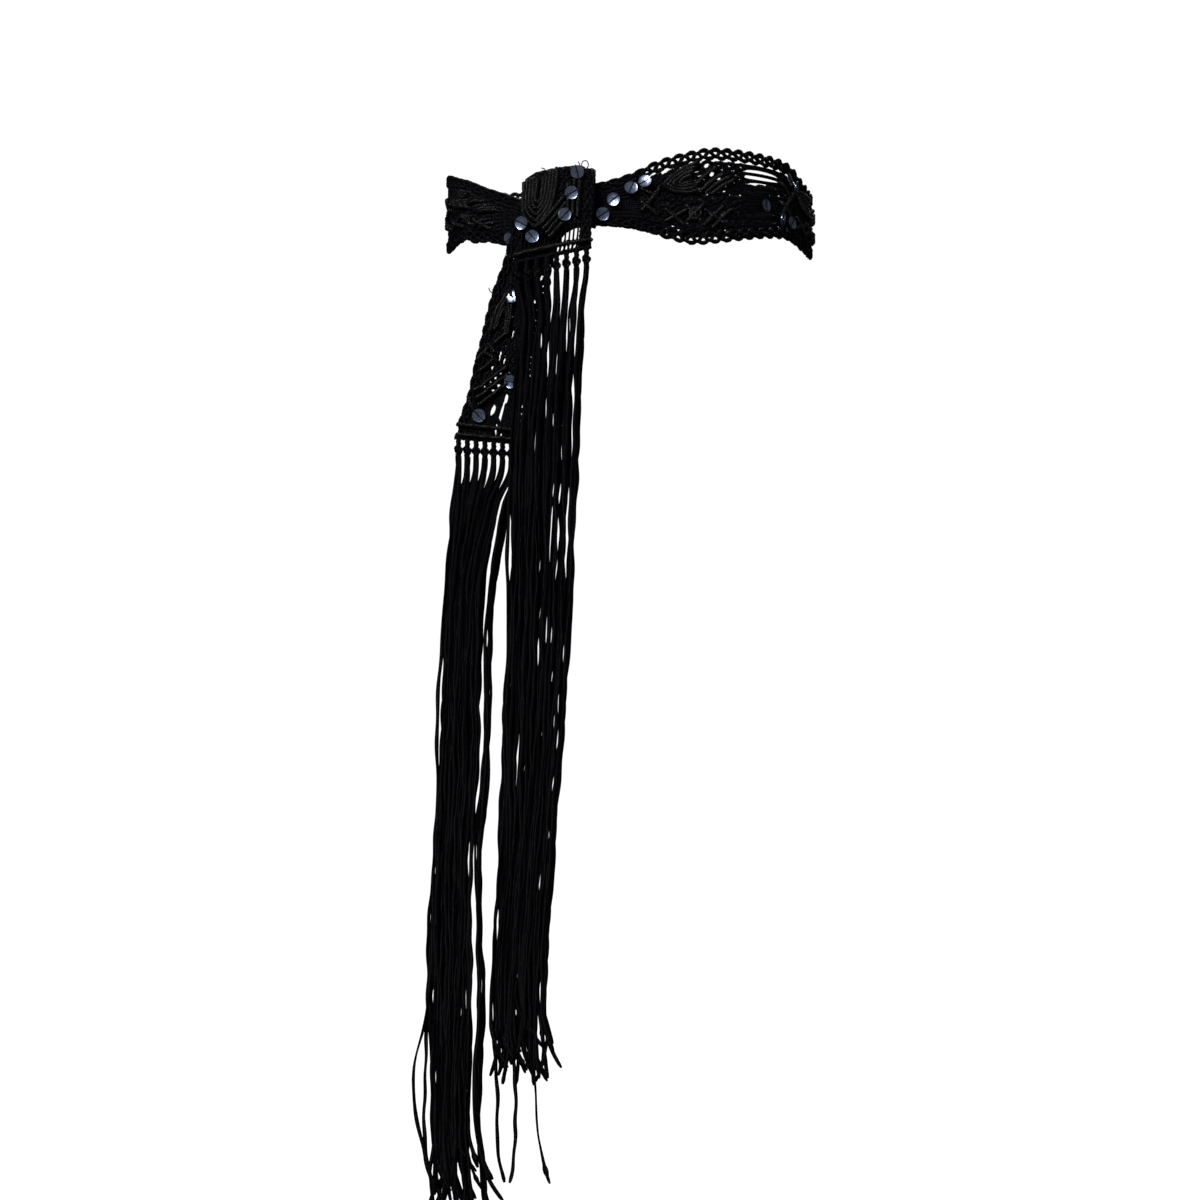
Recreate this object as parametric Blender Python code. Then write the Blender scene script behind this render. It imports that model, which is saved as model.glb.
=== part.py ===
"""A macramé fringe belt of black rayon cord, tied round a waist with one half knot.

The knotted strip goes round the waist. Its right end passes under the knot and hangs down as the tail. Its
left end goes up behind that, over the top and down in front as the flap. Both ends finish in a row of
cording with overhand knots and a long fringe of flat braided strands.

Metres, +Z up. The origin is the middle of the waist that the belt goes round, and the front faces -Y.
"""
import math
from collections import namedtuple

import bmesh
import bpy
from mathutils import Vector

# The waist that the cloth lies on, and the cloth itself
WAIST_HALF_WIDTH = 0.1250
WAIST_HALF_DEPTH = 0.0875
CLOTH = 0.0018
SEAM = 0.0003

# The looped cord along both long edges of the strip
LINK_PITCH = 0.0085
EDGE_WIDTH = 0.0096
EDGE_SHARE = 0.24
SCALLOP = 0.0010
LINK_RISE = 0.0010

# The ribs of the leaf motifs and the lines of the ground across the strip, as shares of its width
RIB_RISE = 0.0008
GROUND_LINES = (0.0, 0.16, 0.28, 0.44, 0.56, 0.72, 0.84, 1.0)
GAP_ROWS = (2, 4, 6)
TOP_LINE = len(GROUND_LINES) + 1
CHEVRON = 0.014
CHEVRON_RAMP = 0.033

# Lower and upper edge of the strip round the waist. The angle is from the middle of the front towards +X.
Height = namedtuple("Height", "angle lower upper lift")
BAND_HEIGHTS = (
    Height(-14.0, -0.0300, -0.0005, 0.0030),
    Height(-9.4, -0.0303, 0.0001, 0.0026),
    Height(0.0, -0.0330, 0.0072, 0.0012),
    Height(9.0, -0.0374, 0.0158, 0.0),
    Height(18.5, -0.0415, 0.0220, 0.0),
    Height(26.0, -0.0401, 0.0250, 0.0),
    Height(44.0, -0.0345, 0.0239, 0.0),
    Height(58.0, -0.0330, 0.0205, 0.0),
    Height(69.0, -0.0380, 0.0114, 0.0),
    Height(83.0, -0.0405, 0.0065, 0.0),
    Height(96.0, -0.0345, 0.0100, 0.0),
    Height(108.0, -0.0255, 0.0165, 0.0),
    Height(120.0, -0.0165, 0.0225, 0.0),
    Height(150.0, -0.0110, 0.0290, 0.0),
    Height(165.0, -0.0090, 0.0305, 0.0),
    Height(180.0, -0.0015, 0.0325, 0.0),
    Height(195.0, -0.0020, 0.0320, 0.0),
    Height(210.0, -0.0080, 0.0260, 0.0),
    Height(225.0, -0.0150, 0.0200, 0.0),
    Height(240.0, -0.0175, 0.0220, 0.0),
    Height(252.0, -0.0235, 0.0235, 0.0),
    Height(262.0, -0.0310, 0.0215, 0.0),
    Height(272.0, -0.0352, 0.0200, 0.0),
    Height(282.0, -0.0364, 0.0176, 0.0),
    Height(297.0, -0.0324, 0.0120, 0.0),
    Height(304.0, -0.0353, 0.0076, 0.0),
    Height(310.0, -0.0360, 0.0032, 0.0),
    Height(315.4, -0.0390, -0.0004, 0.0),
    Height(324.0, -0.0425, -0.0071, 0.0),
)
BAND_START = -13.0
BAND_END = 324.0

# What the strip shows along its length: kind, length and number of columns
Motif = namedtuple("Motif", "kind length columns")
BAND_REPEAT = (
    Motif("leaf", 4.5 * LINK_PITCH, 13),
    Motif("net", 2.0 * LINK_PITCH, 4),
    Motif("floats", 4.0 * LINK_PITCH, 8),
    Motif("bar", 1.5 * LINK_PITCH, 3),
)
FIRST_REPEAT_AT = -0.054
STRETCHES = (("band_right", 0.0, 0.290), ("band_back", 0.290, 0.494), ("band_left", 0.494, None))

# The end that passes under the knot and hangs: its outer and inner edge, seen from the front
TailRow = namedtuple("TailRow", "run outer_x outer_z inner_x inner_z y")
TAIL_ROWS = (
    TailRow(0.000, -0.0289, -0.0005, -0.0289, -0.0300, -0.0889),
    TailRow(0.013, -0.0440, -0.0018, -0.0380, -0.0325, -0.0893),
    TailRow(0.026, -0.0600, -0.0070, -0.0450, -0.0380, -0.0897),
    TailRow(0.040, -0.0735, -0.0200, -0.0490, -0.0470, -0.0907),
    TailRow(0.055, -0.0815, -0.0380, -0.0510, -0.0580, -0.0925),
    TailRow(0.071, -0.0865, -0.0560, -0.0530, -0.0710, -0.0945),
    TailRow(0.085, -0.0925, -0.0720, -0.0560, -0.0830, -0.0957),
    TailRow(0.100, -0.0970, -0.0880, -0.0580, -0.0960, -0.0967),
    TailRow(0.116, -0.1005, -0.1040, -0.0600, -0.1110, -0.0977),
    TailRow(0.134, -0.1050, -0.1220, -0.0620, -0.1280, -0.0988),
    TailRow(0.154, -0.1095, -0.1430, -0.0655, -0.1470, -0.0998),
    TailRow(0.170, -0.1150, -0.1592, -0.0690, -0.1640, -0.1006),
    TailRow(0.178, -0.1160, -0.1690, -0.0700, -0.1728, -0.1010),
)
KNOT_RUN = (Motif("bar", 0.064, 8),)
TAIL_RUN = (
    Motif("leaf", 0.034, 12),
    Motif("net", 0.030, 7),
    Motif("leaf", 0.017, 6),
    Motif("floats", 0.028, 6),
    Motif("bar", 0.005, 1),
)

# The front end: up behind the knot, over it and down in front. Shares go from its left edge to its right.
FlapTop = namedtuple("FlapTop", "share height")
FLAP_TOPS = (
    FlapTop(0.0, 0.0000),
    FlapTop(0.22, 0.0064),
    FlapTop(0.70, 0.0095),
    FlapTop(0.94, 0.0068),
    FlapTop(1.0, 0.0040),
)
FLAP_TOP_LEFT = -0.0720
FLAP_TOP_RIGHT = -0.0222
FLAP_END_LEFT = -0.0785
FLAP_END_RIGHT = -0.0262
FLAP_END_LEFT_Z = -0.0550
FLAP_END_RIGHT_Z = -0.0437
FLAP_FRONT_Y = -0.0970
FLAP_FRONT_LENGTH = 0.052
FLAP_LEAN = 0.055
FLAP_REAR_LENGTH = 0.028
FLAP_TURN_LENGTH = 0.024
FLAP_TURN_RISE = 0.0060
FLAP_ACROSS = (0.0, 0.06, 0.13, 0.20, 0.29, 0.38, 0.42, 0.50, 0.54, 0.62, 0.66, 0.74, 0.78, 0.88, 1.0)
FLAP_SLIT_COLUMNS = (5, 7, 9, 11)
FLAP_REAR_ROWS = 2
FLAP_TURN_ROWS = 4
FLAP_LEAF_ROWS = 16
FLAP_LEAF_SHARE = 0.62
FLAP_FLOAT_ROWS = 3
FLAP_FLOAT_SHARE = 0.92
LEAF_APEX = 0.20
LEAF_RIGHT = 0.53
LEAF_ARM = 0.016
LEAF_FADE = 0.22
CORDING_RISE = 0.0012

# The fringes: knots along a cording strip, and flat strands out of each knot
STRIP_HEIGHT = 0.0034
STRIP_DEPTH = 0.0040
FLAP_FRINGE_Y = -0.1020
TAIL_FRINGE_Y = -0.1030
KNOTS = 8
STRANDS_PER_KNOT = 4
STRAND_WIDTH = 0.0024
STRAND_THICKNESS = 0.0009
STRAND_ROW_GAP = 0.0016
STRAND_SECTIONS = 8
NECK_DROP = 0.0035
KNOT_DROP = 0.0095
KNOT_HALF_WIDTH = 0.0030
KNOT_HALF_DEPTH = 0.0042
NECK_SHARE = 0.45
RING_SIDES = 8
STRAND_STAGGER = 0.0004
RANK_DRIFT = 0.18
RANK_TURN_PER_ROW = 2.4
RANK_TURN_PER_KNOT = 1.7
SWAY_WAVES = 1.6
SWAY_TURN_PER_ROW = 0.25
SWAY_TURN_PER_KNOT = 0.06
GOLDEN = 0.618034

# Where a fringe hangs, by its distance below the origin: its middle and width across, and its depth
Hang = namedtuple("Hang", "below middle width y")
FLAP_HANG = (
    Hang(0.060, -0.0522, 0.0465, -0.1045),
    Hang(0.110, -0.0550, 0.0470, -0.1110),
    Hang(0.170, -0.0570, 0.0460, -0.1165),
    Hang(0.276, -0.0605, 0.0425, -0.1170),
    Hang(0.342, -0.0637, 0.0420, -0.1170),
    Hang(0.446, -0.0690, 0.0365, -0.1170),
    Hang(0.530, -0.0735, 0.0365, -0.1170),
    Hang(0.660, -0.0720, 0.0360, -0.1170),
)
TAIL_HANG = (
    Hang(0.175, -0.0935, 0.0430, -0.1055),
    Hang(0.230, -0.1010, 0.0380, -0.1080),
    Hang(0.276, -0.1060, 0.0345, -0.1085),
    Hang(0.394, -0.1105, 0.0345, -0.1085),
    Hang(0.446, -0.1140, 0.0330, -0.1085),
    Hang(0.538, -0.1150, 0.0390, -0.1085),
    Hang(0.616, -0.1155, 0.0360, -0.1085),
    Hang(0.690, -0.1120, 0.0440, -0.1085),
)
# Where the strands are cut: most of them over a short spread, and a few at the long end
FringeSize = namedtuple("FringeSize", "shortest spread long_end long_first long_every sway")
FLAP_FRINGE = FringeSize(-0.560, 0.032, -0.655, 3, 11, 0.0012)
TAIL_FRINGE = FringeSize(-0.640, 0.046, -0.689, 3, 7, 0.0014)

# Near-black rayon
CORD_COLOUR = (0.012, 0.012, 0.017, 1.0)
CORD_ROUGHNESS = 0.55


def smooth(table, key):
    """The other columns of a table at a place along its first column, on a smooth curve through its rows."""
    last = len(table) - 1
    if key <= table[0][0]:
        return table[0][1:]
    if key >= table[last][0]:
        return table[last][1:]
    k = max(i for i in range(last) if table[i][0] <= key)
    before, start, end, after = table[max(k - 1, 0)], table[k], table[k + 1], table[min(k + 2, last)]
    step = end[0] - start[0]
    t = (key - start[0]) / step
    values = []
    for column in range(1, len(start)):
        slope_start = (end[column] - before[column]) / (end[0] - before[0]) * step
        slope_end = (after[column] - start[column]) / (after[0] - start[0]) * step
        values.append(
            (2 * t**3 - 3 * t**2 + 1) * start[column]
            + (t**3 - 2 * t**2 + t) * slope_start
            + (3 * t**2 - 2 * t**3) * end[column]
            + (t**3 - t**2) * slope_end
        )
    return tuple(values)


def mix(a, b, share):
    """The value that lies this share of the way from a to b."""
    return a + (b - a) * share


def waist_point(angle, z, out):
    """A point round the waist, moved out from it."""
    t = math.radians(angle)
    return Vector(((WAIST_HALF_WIDTH + out) * math.sin(t), -(WAIST_HALF_DEPTH + out) * math.cos(t), z))


def waist_lengths():
    """Angles round the waist, with the length of cloth from the strip's start to each."""
    rows = [(0.0, BAND_START)]
    angle_step = 0.5
    angle = BAND_START
    while angle < BAND_END:
        length = (waist_point(angle + angle_step, 0.0, 0.0) - waist_point(angle, 0.0, 0.0)).length
        angle += angle_step
        rows.append((rows[-1][0] + length, angle))
    return rows


WAIST_LENGTHS = waist_lengths()
BAND_LENGTH = WAIST_LENGTHS[-1][0]


def waist_angle(run):
    """The angle round the waist after this length of cloth."""
    return smooth(WAIST_LENGTHS, run)[0]


def link_wave(run):
    """How far the looped edge cord bulges at a place along it: 0 between two links, 1 in the middle of one."""
    return abs(math.sin(math.pi * run / LINK_PITCH))


def paint(name):
    """The black rayon of one piece."""
    material = bpy.data.materials.new(name + "_cord")
    material.use_nodes = True
    shader = material.node_tree.nodes["Principled BSDF"]
    shader.inputs["Base Color"].default_value = CORD_COLOUR
    shader.inputs["Roughness"].default_value = CORD_ROUGHNESS
    shader.inputs["Metallic"].default_value = 0.0
    return material


def add_object(name, bm):
    """Makes one named object of a finished mesh, with its faces turned out."""
    bmesh.ops.recalc_face_normals(bm, faces=bm.faces)
    mesh = bpy.data.meshes.new(name)
    bm.to_mesh(mesh)
    bm.free()
    mesh.materials.append(paint(name))
    obj = bpy.data.objects.new(name, mesh)
    bpy.context.scene.collection.objects.link(obj)
    return obj


def wall(name, columns, rows, point, rise, is_open):
    """A closed wall of knotted cloth over a grid of columns and rows.

    point(i, j, out) is a grid point moved out from the plain inner face, rise(i, j) is how far a rib or a
    link stands above the cloth there, and is_open(i, j) says that a cell is a gap cut right through.
    """
    bm = bmesh.new()
    inner, outer = {}, {}
    cells = {(i, j) for i in range(columns) for j in range(rows) if not is_open(i, j)}
    for i, j in cells:
        for corner in ((i, j), (i + 1, j), (i + 1, j + 1), (i, j + 1)):
            if corner not in inner:
                inner[corner] = bm.verts.new(point(*corner, 0.0))
                outer[corner] = bm.verts.new(point(*corner, CLOTH + rise(*corner)))
    for i, j in sorted(cells):
        corners = ((i, j), (i + 1, j), (i + 1, j + 1), (i, j + 1))
        bm.faces.new([outer[c] for c in corners])
        bm.faces.new([inner[c] for c in reversed(corners)])
        neighbours = ((i, j - 1), (i + 1, j), (i, j + 1), (i - 1, j))
        for k, neighbour in enumerate(neighbours):
            if neighbour not in cells:
                a, b = corners[k], corners[(k + 1) % 4]
                bm.faces.new((inner[a], inner[b], outer[b], outer[a]))
    return add_object(name, bm)


def strip_columns(motifs, first, start, end):
    """Column places between start and end along the strip, and what the cells after each of them show."""
    places, kinds = [start], []
    at = first
    for motif in motifs:
        for index in range(motif.columns):
            at_next = at + motif.length / motif.columns
            if at_next > start + SEAM and at < end - SEAM:
                places.append(at_next)
                kinds.append((motif.kind, index, motif.columns))
            at = at_next
    places[-1] = end
    return places, kinds


def leaf_spans(motifs, first):
    """Where the leaf motifs start and end along the strip."""
    spans = []
    at = first
    for motif in motifs:
        if motif.kind == "leaf":
            spans.append((at, at + motif.length))
        at += motif.length
    return spans


def cell_is_open(kinds, i, j):
    """Floats leave long slits in every second row, and the net leaves short holes by turns."""
    if i in (0, len(kinds) - 1) or j not in GAP_ROWS:
        return False
    kind, index, count = kinds[i]
    if kind == "floats":
        return 0 < index < count - 1
    return kind == "net" and index < count - 1 and (index + GAP_ROWS.index(j)) % 2 == 0


def strip_share(j, edge_share):
    """How far up the strip a line lies: its two outermost lines bound the looped edges."""
    if j == 0:
        return 0.0
    if j == TOP_LINE:
        return 1.0
    return mix(edge_share, 1.0 - edge_share, GROUND_LINES[j - 1])


def strip(name, motifs, first, start, end, place):
    """One stretch of the knotted strip. place(run, share, out) is a point of its cloth."""
    places, kinds = strip_columns(motifs, first, start, end)
    spans = leaf_spans(motifs, first)

    def leaning_run(i, j):
        run = places[i]
        bend = max(1.0 - max(low - run, run - high, 0.0) / CHEVRON_RAMP for low, high in spans)
        ease = min(1.0, run / CHEVRON_RAMP, (place.length - run) / CHEVRON_RAMP)
        across = GROUND_LINES[min(max(j - 1, 0), len(GROUND_LINES) - 1)]
        return run + CHEVRON * max(bend, 0.0) * ease * abs(2.0 * across - 1.0)

    def point(i, j, out):
        run = leaning_run(i, j)
        scallop = SCALLOP * (1.0 - link_wave(run))
        inset = {0: scallop, TOP_LINE: -scallop}.get(j, 0.0)
        return place(run, j, inset, out)

    def rise(i, j):
        if j <= 1 or j >= TOP_LINE - 1:
            return LINK_RISE * link_wave(leaning_run(i, j))
        is_rib = 0 < i < len(kinds) and kinds[i][0] == "leaf" and kinds[i][1] % 2 == 1
        return RIB_RISE if is_rib else 0.0

    return wall(name, len(kinds), TOP_LINE, point, rise, lambda i, j: cell_is_open(kinds, i, j))


class WaistPlace:
    """Where the strip lies round the waist."""

    length = BAND_LENGTH

    def __call__(self, run, j, inset, out):
        angle = waist_angle(run)
        lower, upper, lift = smooth(BAND_HEIGHTS, angle)
        edge_share = min(EDGE_WIDTH / (upper - lower), EDGE_SHARE)
        z = mix(lower, upper, strip_share(j, edge_share)) + inset
        return waist_point(angle, z, lift + out)


class TailPlace:
    """Where the end of the strip passes under the knot and hangs."""

    length = TAIL_ROWS[-1].run

    def __call__(self, run, j, inset, out):
        outer_x, outer_z, inner_x, inner_z, y = smooth(TAIL_ROWS, run)
        outer, inner = Vector((outer_x, 0.0, outer_z)), Vector((inner_x, 0.0, inner_z))
        width = (outer - inner).length
        edge_share = min(EDGE_WIDTH / width, EDGE_SHARE)
        spot = inner.lerp(outer, strip_share(j, edge_share) + inset / width)
        return Vector((spot.x, y - out, spot.z))


def flap():
    """The front end: up behind the knot, over it and down in front, with its big leaf of nested ribs."""
    leaf_end = FLAP_REAR_ROWS + FLAP_TURN_ROWS + FLAP_LEAF_ROWS
    float_end = leaf_end + FLAP_FLOAT_ROWS
    rows = float_end + 2

    def drop_share(j):
        """How far down the front a row line lies, below 0 on the turn and behind it."""
        if j <= FLAP_REAR_ROWS:
            return (j / FLAP_REAR_ROWS - 1.0) * FLAP_REAR_LENGTH - FLAP_TURN_LENGTH
        if j <= FLAP_REAR_ROWS + FLAP_TURN_ROWS:
            return ((j - FLAP_REAR_ROWS) / FLAP_TURN_ROWS - 1.0) * FLAP_TURN_LENGTH
        if j <= leaf_end:
            return FLAP_LEAF_SHARE * (j - FLAP_REAR_ROWS - FLAP_TURN_ROWS) / FLAP_LEAF_ROWS
        if j <= float_end:
            return mix(FLAP_LEAF_SHARE, FLAP_FLOAT_SHARE, (j - leaf_end) / FLAP_FLOAT_ROWS)
        return mix(FLAP_FLOAT_SHARE, 1.0, (j - float_end) / 2)

    def arm(share):
        """How far the ribs of the leaf stand above its point, across the flap."""
        if share < LEAF_APEX:
            return LEAF_ARM * (LEAF_APEX - share) / LEAF_APEX
        return LEAF_ARM * min(1.0, (share - LEAF_APEX) / (LEAF_RIGHT - LEAF_APEX))

    def travel(i, j):
        """The distance down the front of a grid point, negative on the turn and behind it."""
        share = FLAP_ACROSS[i]
        top_z = smooth(FLAP_TOPS, share)[0] - FLAP_TURN_RISE - CLOTH
        front = top_z - mix(FLAP_END_LEFT_Z, FLAP_END_RIGHT_Z, share)
        down = drop_share(j)
        if j <= leaf_end:
            from_rear = j / leaf_end
            bend = min(1.0, 2.0 * from_rear)
        else:
            bend = max(0.0, (FLAP_FLOAT_SHARE - down) / (FLAP_FLOAT_SHARE - FLAP_LEAF_SHARE))
        return (down * front if down > 0.0 else down) - bend * arm(share), top_z

    def point(i, j, out):
        share = FLAP_ACROSS[i]
        down, top_z = travel(i, j)
        scallop = SCALLOP * (1.0 - link_wave(down))
        inset = {0: scallop, len(FLAP_ACROSS) - 1: -scallop}.get(i, 0.0)
        lean = max(0.0, down) / FLAP_FRONT_LENGTH
        left = mix(FLAP_TOP_LEFT, FLAP_END_LEFT, lean)
        right = mix(FLAP_TOP_RIGHT, FLAP_END_RIGHT, lean)
        x = mix(left, right, share) + inset
        rear_y = -WAIST_HALF_DEPTH * math.sqrt(1.0 - (x / WAIST_HALF_WIDTH) ** 2) - CLOTH
        if down >= 0.0:
            return Vector((x, FLAP_FRONT_Y - FLAP_LEAN * down - out, top_z - down))
        if down <= -FLAP_TURN_LENGTH:
            return Vector((x, rear_y + out, top_z + FLAP_TURN_LENGTH + down))
        turn = math.pi * (1.0 + down / FLAP_TURN_LENGTH)
        half = (rear_y - FLAP_FRONT_Y) / 2
        y = (rear_y + FLAP_FRONT_Y) / 2 + (half + out) * math.cos(turn)
        return Vector((x, y, top_z + (FLAP_TURN_RISE + out) * math.sin(turn)))

    def rise(i, j):
        if i in (0, len(FLAP_ACROSS) - 1):
            return 0.0
        if j == rows - 1:
            return CORDING_RISE
        is_rib = FLAP_REAR_ROWS + FLAP_TURN_ROWS < j < leaf_end and j % 2 == 1
        fade = 1.0 - max(0.0, FLAP_ACROSS[i] - LEAF_RIGHT) / LEAF_FADE
        return RIB_RISE * max(0.0, fade) if is_rib else 0.0

    def is_open(i, j):
        return i in FLAP_SLIT_COLUMNS and leaf_end < j < float_end

    return wall("flap", len(FLAP_ACROSS) - 1, rows, point, rise, is_open)


def fill_between(bm, loops):
    """Fills the flat face between an outer loop of points and the loops inside it."""
    edges = []
    for loop in loops:
        for k, vert in enumerate(loop):
            after = loop[(k + 1) % len(loop)]
            edges.append(bm.edges.get((vert, after)) or bm.edges.new((vert, after)))
    bmesh.ops.triangle_fill(bm, use_beauty=True, edges=edges)


def join_loops(bm, first, second):
    """The side faces between two loops with as many points."""
    for k in range(len(first)):
        after = (k + 1) % len(first)
        bm.faces.new((first[k], first[after], second[after], second[k]))


def strand_loop(bm, middle):
    """The four corners of a flat strand, level, round its middle."""
    corners = ((-1, -1), (1, -1), (1, 1), (-1, 1))
    half = (STRAND_WIDTH / 2, STRAND_THICKNESS / 2)
    return [bm.verts.new(middle + Vector((cx * half[0], cy * half[1], 0.0))) for cx, cy in corners]


def knot_ring(bm, middle, size):
    """A round ring of a knot or its neck, level."""
    ring = []
    for k in range(RING_SIDES):
        turn = 2.0 * math.pi * (k + 0.5) / RING_SIDES
        offset = Vector((KNOT_HALF_WIDTH * math.cos(turn), KNOT_HALF_DEPTH * math.sin(turn), 0.0))
        ring.append(bm.verts.new(middle + size * offset))
    return ring


def fringe(name, left, right, hang, size):
    """A cording strip from left to right, with its knots and the flat strands that hang from them."""
    bm = bmesh.new()
    ends = []
    for end in (left, right):
        for height in (0.0, STRIP_HEIGHT):
            for depth in (-0.5, 0.5):
                ends.append(bm.verts.new(end + Vector((0.0, depth * STRIP_DEPTH, height))))
    left_low, right_low = ends[0:2], ends[4:6]
    left_high, right_high = ends[2:4], ends[6:8]
    bm.faces.new((left_low[0], left_high[0], left_high[1], left_low[1]))
    bm.faces.new((right_low[0], right_low[1], right_high[1], right_high[0]))
    bm.faces.new((left_high[0], right_high[0], right_high[1], left_high[1]))
    bm.faces.new((left_low[0], right_low[0], right_high[0], left_high[0]))
    bm.faces.new((left_low[1], left_high[1], right_high[1], right_low[1]))
    necks = []
    for knot in range(KNOTS):
        root = left.lerp(right, (knot + 0.5) / KNOTS)
        slope = (right.z - left.z) / (right.x - left.x)
        neck = knot_ring(bm, root, NECK_SHARE)
        for vert in neck:
            vert.co.z = root.z + slope * (vert.co.x - root.x)
        necks.append(neck)
        knot_strands(bm, neck, root, knot, hang, size)
    fill_between(bm, [[left_low[0], right_low[0], right_low[1], left_low[1]]] + necks)
    return add_object(name, bm)


def knot_strands(bm, neck, root, knot, hang, size):
    """One overhand knot below its neck, and the strands out of its underside."""
    middle = root - Vector((0.0, 0.0, NECK_DROP))
    belly_drop = (KNOT_DROP - NECK_DROP) / 2
    middle.y = smooth(hang, -middle.z)[2]
    rings = [neck, knot_ring(bm, middle, NECK_SHARE)]
    for share in (1.0, 2.0):
        spot = middle - Vector((0.0, 0.0, belly_drop * share))
        rings.append(knot_ring(bm, spot, 1.0))
    for first, second in zip(rings, rings[1:]):
        join_loops(bm, first, second)
    under = middle - Vector((0.0, 0.0, 2.0 * belly_drop))
    roots = []
    for row in range(STRANDS_PER_KNOT):
        path = strand_path(under, knot, row, hang, size)
        loops = [strand_loop(bm, spot) for spot in path]
        for first, second in zip(loops, loops[1:]):
            join_loops(bm, first, second)
        bm.faces.new(loops[-1])
        roots.append(loops[0])
    fill_between(bm, [rings[-1]] + roots)


def strand_path(under, knot, row, hang, size):
    """The middle line of one strand, from the underside of its knot to its cut end."""
    number = knot * STRANDS_PER_KNOT + row
    chance = (number * GOLDEN) % 1.0
    end_z = size.shortest - size.spread * chance
    if number % size.long_every == size.long_first:
        end_z = size.long_end
    row_offset = (row - (STRANDS_PER_KNOT - 1) / 2) * STRAND_ROW_GAP
    stagger = STRAND_STAGGER * (-1) ** row
    points = [Vector((under.x + stagger, under.y + row_offset, under.z))]
    drift = RANK_DRIFT * math.sin(RANK_TURN_PER_ROW * row + RANK_TURN_PER_KNOT * knot)
    rank = (knot + 0.5 + drift) / KNOTS
    turn = SWAY_TURN_PER_ROW * row + SWAY_TURN_PER_KNOT * knot
    for section in range(1, STRAND_SECTIONS + 1):
        share = section / STRAND_SECTIONS
        z = mix(under.z, end_z, share)
        middle, width, y = smooth(hang, -z)
        sway = size.sway * math.sin(math.tau * (SWAY_WAVES * share + turn))
        x = middle + (rank - 0.5) * (width - STRAND_WIDTH) + sway
        points.append(Vector((x, y + row_offset, z)))
    return points


def main():
    """Clears the scene and makes every piece."""
    for obj in list(bpy.data.objects):
        bpy.data.objects.remove(obj, do_unlink=True)
    repeats = math.ceil(BAND_LENGTH / sum(m.length for m in BAND_REPEAT)) + 1
    waist = WaistPlace()
    for name, start, end in STRETCHES:
        strip(name, BAND_REPEAT * repeats, FIRST_REPEAT_AT, start + SEAM / 2, (end or BAND_LENGTH) - SEAM / 2, waist)
    tail = TailPlace()
    run = KNOT_RUN + TAIL_RUN
    turn_end = sum(m.length for m in KNOT_RUN)
    strip("knot_pass", run, 0.0, SEAM, turn_end - SEAM / 2, tail)
    strip("tail", run, 0.0, turn_end + SEAM / 2, tail.length, tail)
    flap()
    strip_drop = Vector((0.0, 0.0, STRIP_HEIGHT + SEAM))
    flap_left = Vector((FLAP_END_LEFT, FLAP_FRINGE_Y, FLAP_END_LEFT_Z)) - strip_drop
    flap_right = Vector((FLAP_END_RIGHT, FLAP_FRINGE_Y, FLAP_END_RIGHT_Z)) - strip_drop
    fringe("fringe_flap", flap_left, flap_right, FLAP_HANG, FLAP_FRINGE)
    tail_end = TAIL_ROWS[-1]
    tail_left = Vector((tail_end.outer_x, TAIL_FRINGE_Y, tail_end.outer_z)) - strip_drop
    tail_right = Vector((tail_end.inner_x, TAIL_FRINGE_Y, tail_end.inner_z)) - strip_drop
    fringe("fringe_tail", tail_left, tail_right, TAIL_HANG, TAIL_FRINGE)


main()
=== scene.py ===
"""The looks of a macramé fringe belt of black rayon cord, tied round a waist with a half knot."""

import math
from collections import namedtuple

import bpy
import numpy as np
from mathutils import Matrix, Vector


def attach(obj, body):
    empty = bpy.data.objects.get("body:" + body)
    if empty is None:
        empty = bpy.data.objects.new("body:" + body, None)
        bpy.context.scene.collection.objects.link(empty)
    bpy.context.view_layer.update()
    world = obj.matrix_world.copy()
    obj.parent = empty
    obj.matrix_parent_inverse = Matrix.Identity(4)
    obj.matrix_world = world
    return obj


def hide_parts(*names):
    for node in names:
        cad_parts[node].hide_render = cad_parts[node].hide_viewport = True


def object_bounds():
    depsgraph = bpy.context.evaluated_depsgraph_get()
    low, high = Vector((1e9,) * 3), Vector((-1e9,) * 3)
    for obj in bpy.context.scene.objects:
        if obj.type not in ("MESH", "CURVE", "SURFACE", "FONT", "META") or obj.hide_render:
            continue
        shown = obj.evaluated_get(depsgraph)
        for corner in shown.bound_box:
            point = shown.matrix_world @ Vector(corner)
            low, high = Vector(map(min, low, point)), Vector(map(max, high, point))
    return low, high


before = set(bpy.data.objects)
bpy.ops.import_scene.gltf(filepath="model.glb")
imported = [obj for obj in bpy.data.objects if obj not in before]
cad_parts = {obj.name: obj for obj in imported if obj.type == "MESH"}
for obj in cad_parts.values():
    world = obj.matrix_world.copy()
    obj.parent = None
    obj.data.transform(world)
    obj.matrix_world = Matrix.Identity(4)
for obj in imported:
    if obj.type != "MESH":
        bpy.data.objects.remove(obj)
cad_low, cad_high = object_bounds()

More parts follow.
